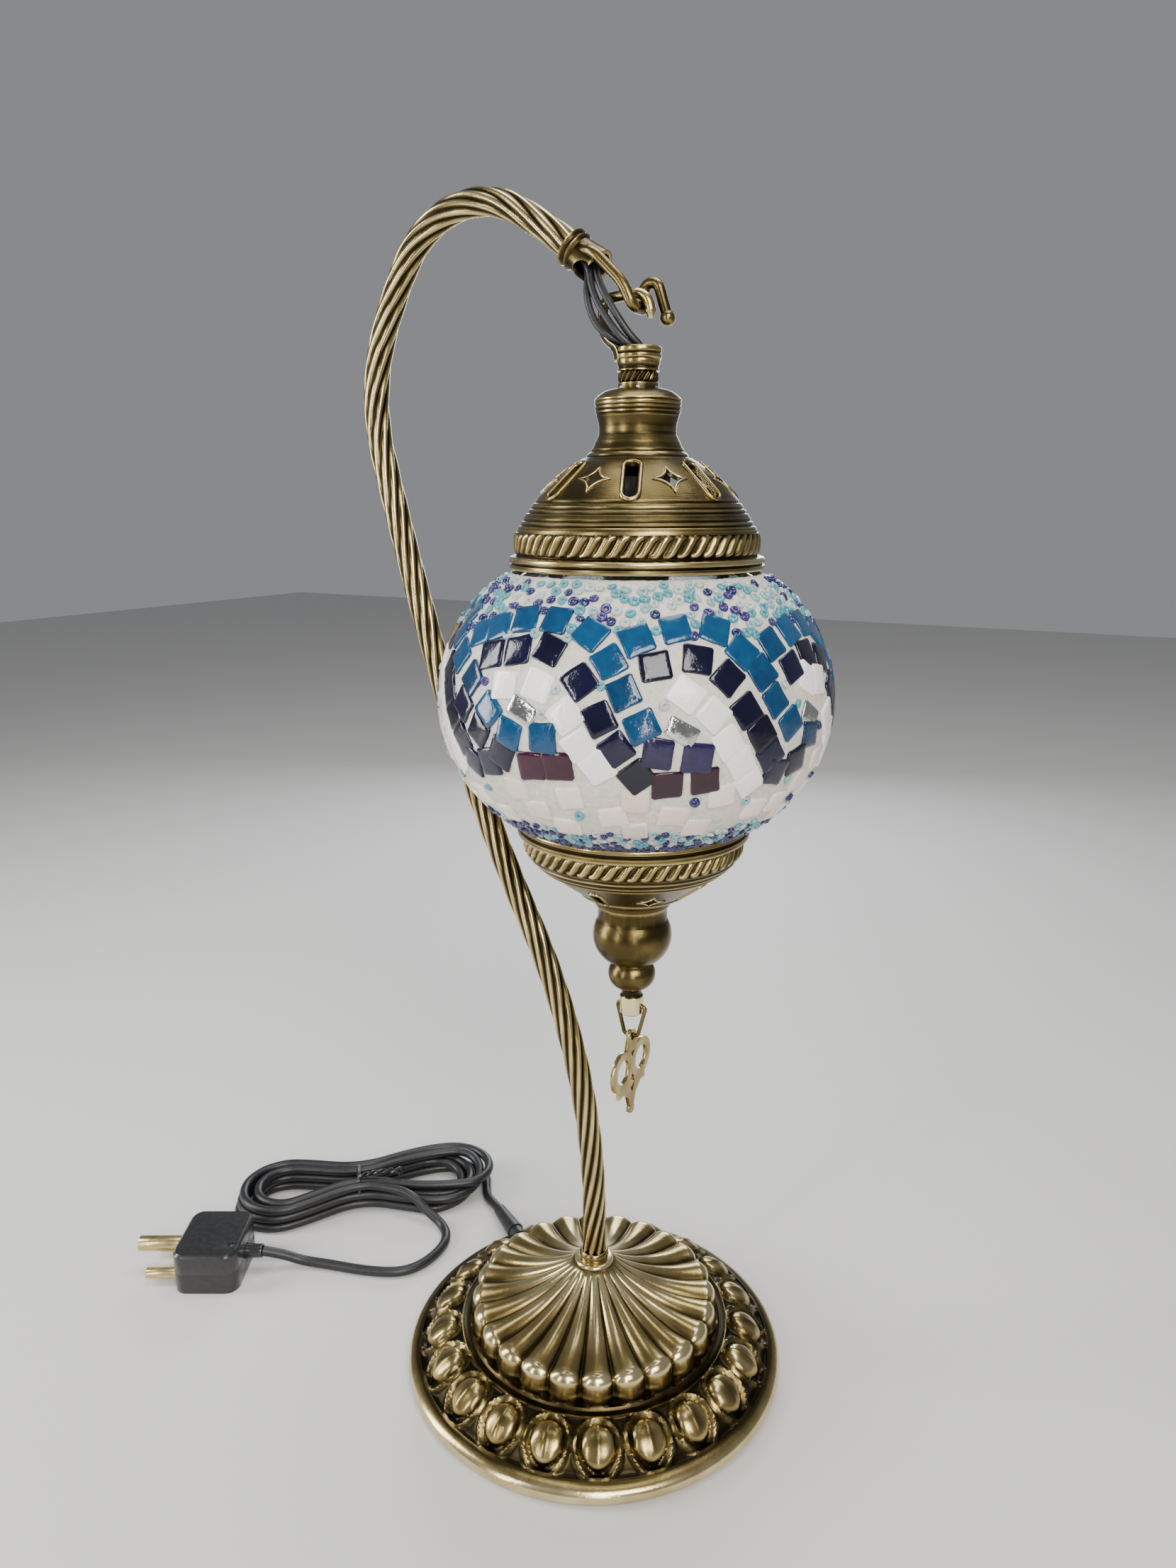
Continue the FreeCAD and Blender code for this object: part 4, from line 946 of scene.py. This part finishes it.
def lay_tiles(seed):
    """All tiles as (kind, turn, height, row angle, place)."""
    dice = random.Random(seed)
    rows = [(kind, list(row)) for kind, row in PATTERN]
    for crest in BACK_CRESTS:
        for kind, row in MOTIF:
            rows.append((kind, [(
                t + MOTIF_BACK + crest + dice.uniform(-0.7, 0.7),
                p + dice.uniform(-0.8, 0.8)) for t, p in row]))
    laid = []

    def lay(kind, theta, psi, angle, gap):
        place = shell_place(theta, psi)
        for other in laid:
            if np.linalg.norm(other[4] - place) < gap:
                return
        laid.append((kind, theta, psi, angle, place))

    for kind, row in rows:
        turned_row = []
        for t, p in row:
            near = max(math.cos(math.radians(t - CAMERA_SIDE)), 0.4)
            turned_row.append((math.radians(t), math.radians(p - 4.0 * near)))
        for k, (theta, psi) in enumerate(turned_row):
            angle = -0.5
            if len(row) > 1:
                a = shell_place(*turned_row[max(k - 1, 0)])
                b = shell_place(*turned_row[min(k + 1, len(row) - 1)])
                side, up, _ = shell_frame(theta, psi)
                angle = math.atan2((b - a) @ up, (b - a) @ side)
            lay(kind, theta, psi, angle, 6.9)
    # cream tiles fill what is left, down to the band of beads
    for psi in (26, 18, 9.5, 1, -8, -17, -24.5, -33, -41):
        reach = SHELL_SIDE + SHELL_ROUND * math.cos(math.radians(psi))
        count = int(TAU * reach / (9.6 if psi < -20 else 4.5))
        for k in range(count):
            theta = (k + 0.5 * dice.random()) * TAU / count
            lay("cream", theta, math.radians(psi + dice.uniform(-1, 1)),
                dice.uniform(-0.12, 0.12), 9.2)
    return laid


def make_tiles(dice, laid, paints):
    """Pillowed tiles, each a little uneven; one object for each glass."""
    made = {kind: ([], [], []) for kind in paints}
    around = len(TILE_OUTLINE)
    for kind, theta, psi, angle, _ in laid:
        side, up, out = shell_frame(theta, psi)
        angle += dice.uniform(-0.06, 0.06)
        along = side * math.cos(angle) + up * math.sin(angle)
        across = np.cross(out, along)
        wide = TILE_HALF + dice.uniform(-0.25, 0.1)
        deep = TILE_HALF + dice.uniform(-0.3, 0.1)
        if kind == "cream":
            wide, deep = wide - 0.3, deep - 0.45
        if kind == "mirror":
            wide, deep = 5.2, 3.3
        lean = (dice.uniform(-0.025, 0.025), dice.uniform(-0.025, 0.025))
        skew = [(dice.uniform(-0.3, 0.3), dice.uniform(-0.3, 0.3))
                for _ in range(4)]
        points, faces, shades = made[kind]
        start = len(points)
        centre = shell_place(theta, psi, -0.15)
        for inset, height in TILE_RINGS:
            for k, (a, b) in enumerate(TILE_OUTLINE):
                shift = skew[((k + 1) % around) // 3]
                x = a * (wide - inset) + shift[0]
                y = b * (deep - inset) + shift[1]
                points.append(centre + along * x + across * y + out
                              * (height + x * lean[0] + y * lean[1]))
        points.append(centre + out * 0.24)
        faces += grid(len(TILE_RINGS), around, start=start)
        top = len(points) - 1
        faces += [(top - around + k, top - around + (k + 1) % around, top)
                  for k in range(around)]
        faces.append(tuple(range(start, start + around))[::-1])
        light = dice.random()
        if kind == "blue" and psi > math.radians(30):
            light = 0.55 + 0.45 * light
        shades += [light] * (len(points) - start)
    for kind, (points, faces, shades) in made.items():
        put("tiles_" + kind, points, faces, paints[kind], "lantern", "mosaic",
            data={"shade": shades}, sharp=50)


def make_grout(paint):
    """The shell that fills the gaps, a little uneven on its outside."""
    def wall(radius, start, end, count):
        return [(SHELL_SIDE + radius * math.cos(math.radians(a)),
                 SHELL_MIDDLE + radius * math.sin(math.radians(a)))
                for a in np.linspace(start, end, count)]

    outer = wall(50.75, -62, 61.5, 120)
    profile = outer + wall(48.6, 61.5, -62, 60)
    bumps = np.random.default_rng(5).normal(0, 0.06, (len(profile), 360))
    bumps = (bumps + np.roll(bumps, 1, 0) + np.roll(bumps, 1, 1)) / 1.6
    bumps[len(outer):] = 0
    put("grout_shell", *turned(profile, 360, AXIS, lambda r, z, t: bumps),
        paint, "lantern", "mosaic", ["mosaic_skin"])


def lay_beads(dice, laid):
    """Dense bands under the bell and above the bowl, and a few between."""
    spots = []
    centres = np.array([t[4] for t in laid])

    def try_bead(theta, psi, gap, free):
        place = shell_place(theta, psi)
        if np.linalg.norm(centres - place, axis=1).min() < free:
            return
        if spots and np.linalg.norm(np.array([s[2] for s in spots[-900:]])
                                    - place, axis=1).min() < gap:
            return
        spots.append((theta, psi, place))

    for _ in range(9000):
        try_bead(dice.uniform(0, TAU), math.radians(dice.uniform(33, 58)),
                 3.2, 6.1)
    for _ in range(9000):
        low = dice.triangular(-61, -43, -57)
        try_bead(dice.uniform(0, TAU), math.radians(low), 2.55, 5.4)
    for _ in range(500):
        try_bead(dice.uniform(0, TAU), math.radians(dice.uniform(-40, 33)),
                 7.0, 6.6)
    return spots


def make_beads(dice, spots, paint, around=12, tube=7):
    """A small glass ring, lying nearly flat, at each spot."""
    points, faces, colours = [], [], []
    for theta, psi, _ in spots:
        side_way, up, out = shell_frame(theta, psi)
        low_band = psi < math.radians(-42)
        names = ["clear", "clear", "pale", "aqua", "aqua", "navy", "violet",
                 "navy"]
        if psi < math.radians(-56):
            names = ["navy", "navy", "violet"]
        elif low_band:
            names = ["navy", "navy", "navy", "aqua", "pale", "clear"]
        hue = BEAD_HUES[dice.choice(names)]
        ring = dice.uniform(0.95, 1.2) * (0.85 if low_band else 1.0)
        wire = ring * 0.62
        lean = (dice.gauss(0, 0.25), dice.gauss(0, 0.25))
        axis = out + side_way * lean[0] + up * lean[1]
        axis /= np.linalg.norm(axis)
        a = np.cross(axis, up)
        a /= np.linalg.norm(a)
        b = np.cross(axis, a)
        centre = shell_place(theta, psi, -0.45)
        start = len(points)
        for i in range(around):
            turn = TAU * i / around
            spoke = a * math.cos(turn) + b * math.sin(turn)
            for j in range(tube):
                roll = TAU * j / tube
                points.append(centre + spoke * (ring + wire * math.cos(roll))
                              + axis * wire * 1.1 * math.sin(roll))
                m, n = start + (i + 1) % around * tube, (j + 1) % tube
                faces.append((start + i * tube + j, m + j, m + n,
                              start + i * tube + n))
        colours += [(*hue, 1.0)] * (around * tube)
    put("seed_beads", points, faces, paint, "lantern", "mosaic",
        data={"hue": colours}, sharp=180)


def make_mosaic(paints, grout, bead_paint):
    dice = random.Random(41)
    laid = lay_tiles(7)
    make_tiles(dice, laid, paints)
    make_grout(grout)
    make_beads(dice, lay_beads(dice, laid), bead_paint)


# ------------ leads
# the tip of the neck, and the way it points
TIP, WAY = np.array([-10.289, 0, 444.264]), np.array([0.79864, 0, -0.60182])
LEAD_RADIUS = 1.25
TUBE_TOP, LEAD_END = 406.2, 364.4     # where the leads enter the tube and end
# each lead: its place in the mouth (up, aside), then its bends
LEAD_ROUTES = {
    "lead_line": ((1.5, 0.9), [(3.6, -4.4, 430.4), (9.4, -5.0, 421.6),
                               (14.6, -3.4, 413.8), (17.9, -0.3, 410.0),
                               (17.89, 0.8, TUBE_TOP)]),
    "lead_neutral": ((0.0, -1.75), [(1.2, -5.0, 428.0), (7.0, -6.0, 419.4),
                                    (12.5, -6.0, 412.9), (16.0, -3.4, 409.8),
                                    (16.5, -1.6, TUBE_TOP)]),
    "lead_earth": ((-1.5, 0.9), [(-1.6, -4.2, 427.2), (2.6, -5.4, 417.5),
                                 (8.3, -5.2, 413.0), (13.2, -1.0, 410.6),
                                 (15.11, 0.8, TUBE_TOP)])}


def make_leads(paint):
    up = np.array([-WAY[2], 0, WAY[0]])
    mouth = TIP + WAY * 5.9
    for name, ((rise, aside), bends) in LEAD_ROUTES.items():
        start = mouth + up * rise + np.array([0, aside, 0])
        x, y, _ = bends[-1]
        path = smooth_path([start, start + WAY * 4.5, *bends,
                            (x, y, LEAD_END)], 120)
        size = [LEAD_RADIUS] * len(path)
        item = put(name + "_wire", *swept(path, size, size, 14), paint, None,
                   "black_rubber", [name], sharp=60)
        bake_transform(item)


# ------------ the hanger
def make_hanger(paint):
    """A scoop that rises from the cup and narrows to a strand at the hook."""
    path = smooth_path([(8.9, 0, 405.8), (8.8, 0, 409.5), (4.0, 0, 412.8),
                        (2.6, 0, 417.5), (2.9, 0, 425.6), (9.0, 0, 426.7),
                        (20.7, 0, 427.0), (20.9, 0, 419.0)], 110)
    share = np.linspace(0, 1, 110)
    wide = np.interp(share, [0, 0.12, 0.22, 0.38, 0.5, 0.95, 1],
                     [6.6, 6.6, 5.6, 3.2, 2.1, 1.9, 1.0])
    thick = np.interp(share, [0, 0.2, 0.38, 0.5, 0.95, 1],
                      [1.0, 1.1, 1.5, 1.8, 1.9, 1.0])
    points, faces = swept(path, wide, thick, 32)
    curl = np.repeat(np.interp(share, [0, 0.25, 0.45, 1], [1, 0.9, 0, 0]), 32)
    points[:, 0] += curl * points[:, 1] ** 2 / 13.0
    cup = run([(7.0, 406.2), (7.3, 406.0), (7.8, 406.5), (7.9, 407.4),
               (7.5, 408.0), (7.9, 408.7), (7.8, 409.8), (7.3, 410.2),
               (6.3, 410.2), (6.0, 409.6), (5.9, 407.6), (4.2, 407.4),
               (4.2, 406.2)], 0.4)
    both = joined([(points, faces), turned(cup, 64, AXIS)])
    item = put("hanger_casting", *both, paint, "lantern", "antique_brass",
               ["hanger_hook"], sharp=50)
    age_and_shade(item, 500, 2)


# ------------ the scene
make_camera()
make_studio()
rubber = make_plain("cord_rubber", (0.006, 0.006, 0.007),
                    (0.014, 0.014, 0.015), 600, 0.36)
hard_black = make_plain("black_moulding", (0.008, 0.008, 0.009),
                        (0.018, 0.018, 0.019), 400, 0.25, coat=0.3)
pins = make_plain("pin_brass", (0.50, 0.38, 0.17), (0.70, 0.56, 0.29), 260,
                  0.22, 1.0)
plug_pieces = [dressed(node, hard_black, "stand")
               for node in ("plug_base", "plug_cover", "plug_cord_grip")]
plug_pieces += [dressed(node, pins, "stand")
                for node in ("plug_live_pins", "plug_earth_pin")]
plug_pieces.append(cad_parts["plug_screw"])
make_cord(rubber, hard_black)
# aged brass, with painted shade in its hollows
brass = make_brass("brass_aged_and_shaded")
spun = make_brass("brass_spun", AXIS, 0.04, 0.22)
make_base(brass)
make_neck(brass)
make_caps(spun)
make_hanger(brass)
rope_band("top_rope", 342.0, 349.4, 43.3, 58, -0.46, brass, "top_rope_band")
rope_band("bottom_rope", 233.4, 239.9, 41.4, 56, -0.46, brass,
          "bottom_rope_band")
rope_band("collar_rope", 398.6, 402.4, 6.9, 18, -0.5, brass,
          "collar_rope_ring", 2.7, 0.7)
for node, body, reach in (
        ("foot_ring", "stand", 1300), ("neck_hook", "stand", 1300),
        ("hanger_collar", "lantern", 1300), ("finial", "lantern", 1300),
        ("finial_tip", "lantern", 1300), ("pendant_link", "link", 14000),
        ("pendant_charm", "charm", 14000)):
    dressed(node, brass, body, reach)
glasses = {kind: make_glass("glass_" + name, *finish)
           for kind, name, *finish in (
    ("blue", "blue", (0.001, 0.012, 0.045), (0.006, 0.078, 0.185), 0.06),
    ("navy", "navy", (0.001, 0.001, 0.008), (0.004, 0.004, 0.028), 0.02),
    ("violet", "violet", (0.008, 0.006, 0.035), (0.035, 0.022, 0.10), 0.04),
    ("wine", "wine", (0.012, 0.0006, 0.006), (0.05, 0.002, 0.022), 0.04),
    ("white", "opal", (0.74, 0.72, 0.67), (0.90, 0.89, 0.86), 0.0, 0.14),
    ("cream", "cream", (0.68, 0.56, 0.48), (0.86, 0.75, 0.67), 0.0, 0.16))}
glasses["mirror"] = make_plain("glass_mirror", (0.52, 0.53, 0.50),
                               (0.74, 0.74, 0.70), 300, 0.03, 1.0, 0.0003)
grout = make_plain("grout", (0.50, 0.465, 0.39), (0.68, 0.65, 0.57), 500, 0.6,
                   depth=0.0004)
make_mosaic(glasses, grout, make_bead_glass())
make_leads(rubber)
steel = make_plain("zinc_steel", (0.42, 0.42, 0.42), (0.60, 0.60, 0.61), 350,
                   0.28, 1.0)
paint_node(steel, "bottom_plate", "clamp_screws", "neck_pipe", "neck_washer",
           "neck_nut", "plug_screw", "lantern_tube", "cap_nut",
           "globe_spider", "globe_clips", "finial_rod", "finial_nut")
paint_node(make_plain("cast_iron", (0.03, 0.03, 0.03), (0.07, 0.068, 0.065),
                      220, 0.6, 0.6, 0.0004), "base_weight")
paint_node(make_plain("green_felt", (0.010, 0.035, 0.018),
                      (0.022, 0.06, 0.032), 1500, 0.9, depth=0.0005),
           "felt_pad")
paint_node(hard_black, "holder_cap", "holder_block", "holder_shell")
paint_node(make_plain("bright_brass", (0.55, 0.40, 0.16), (0.78, 0.61, 0.30),
                      260, 0.2, 1.0), "bulb_cap")
paint_node(make_plain("clear_seal", (0.10, 0.10, 0.10), (0.16, 0.16, 0.155),
                      400, 0.5), "top_gasket", "bottom_seat")
paint_node(make_plain("bulb_opal", (0.82, 0.82, 0.80), (0.88, 0.88, 0.86),
                      120, 0.12, coat=0.4), "bulb_glass")
paint_node(make_plain("globe_clear", (0.86, 0.89, 0.88), (0.93, 0.95, 0.94),
                      80, 0.02, through=0.9), "globe_glass")
paint_node(rubber, "inner_cable", "cord_boot", "cord_clamp")
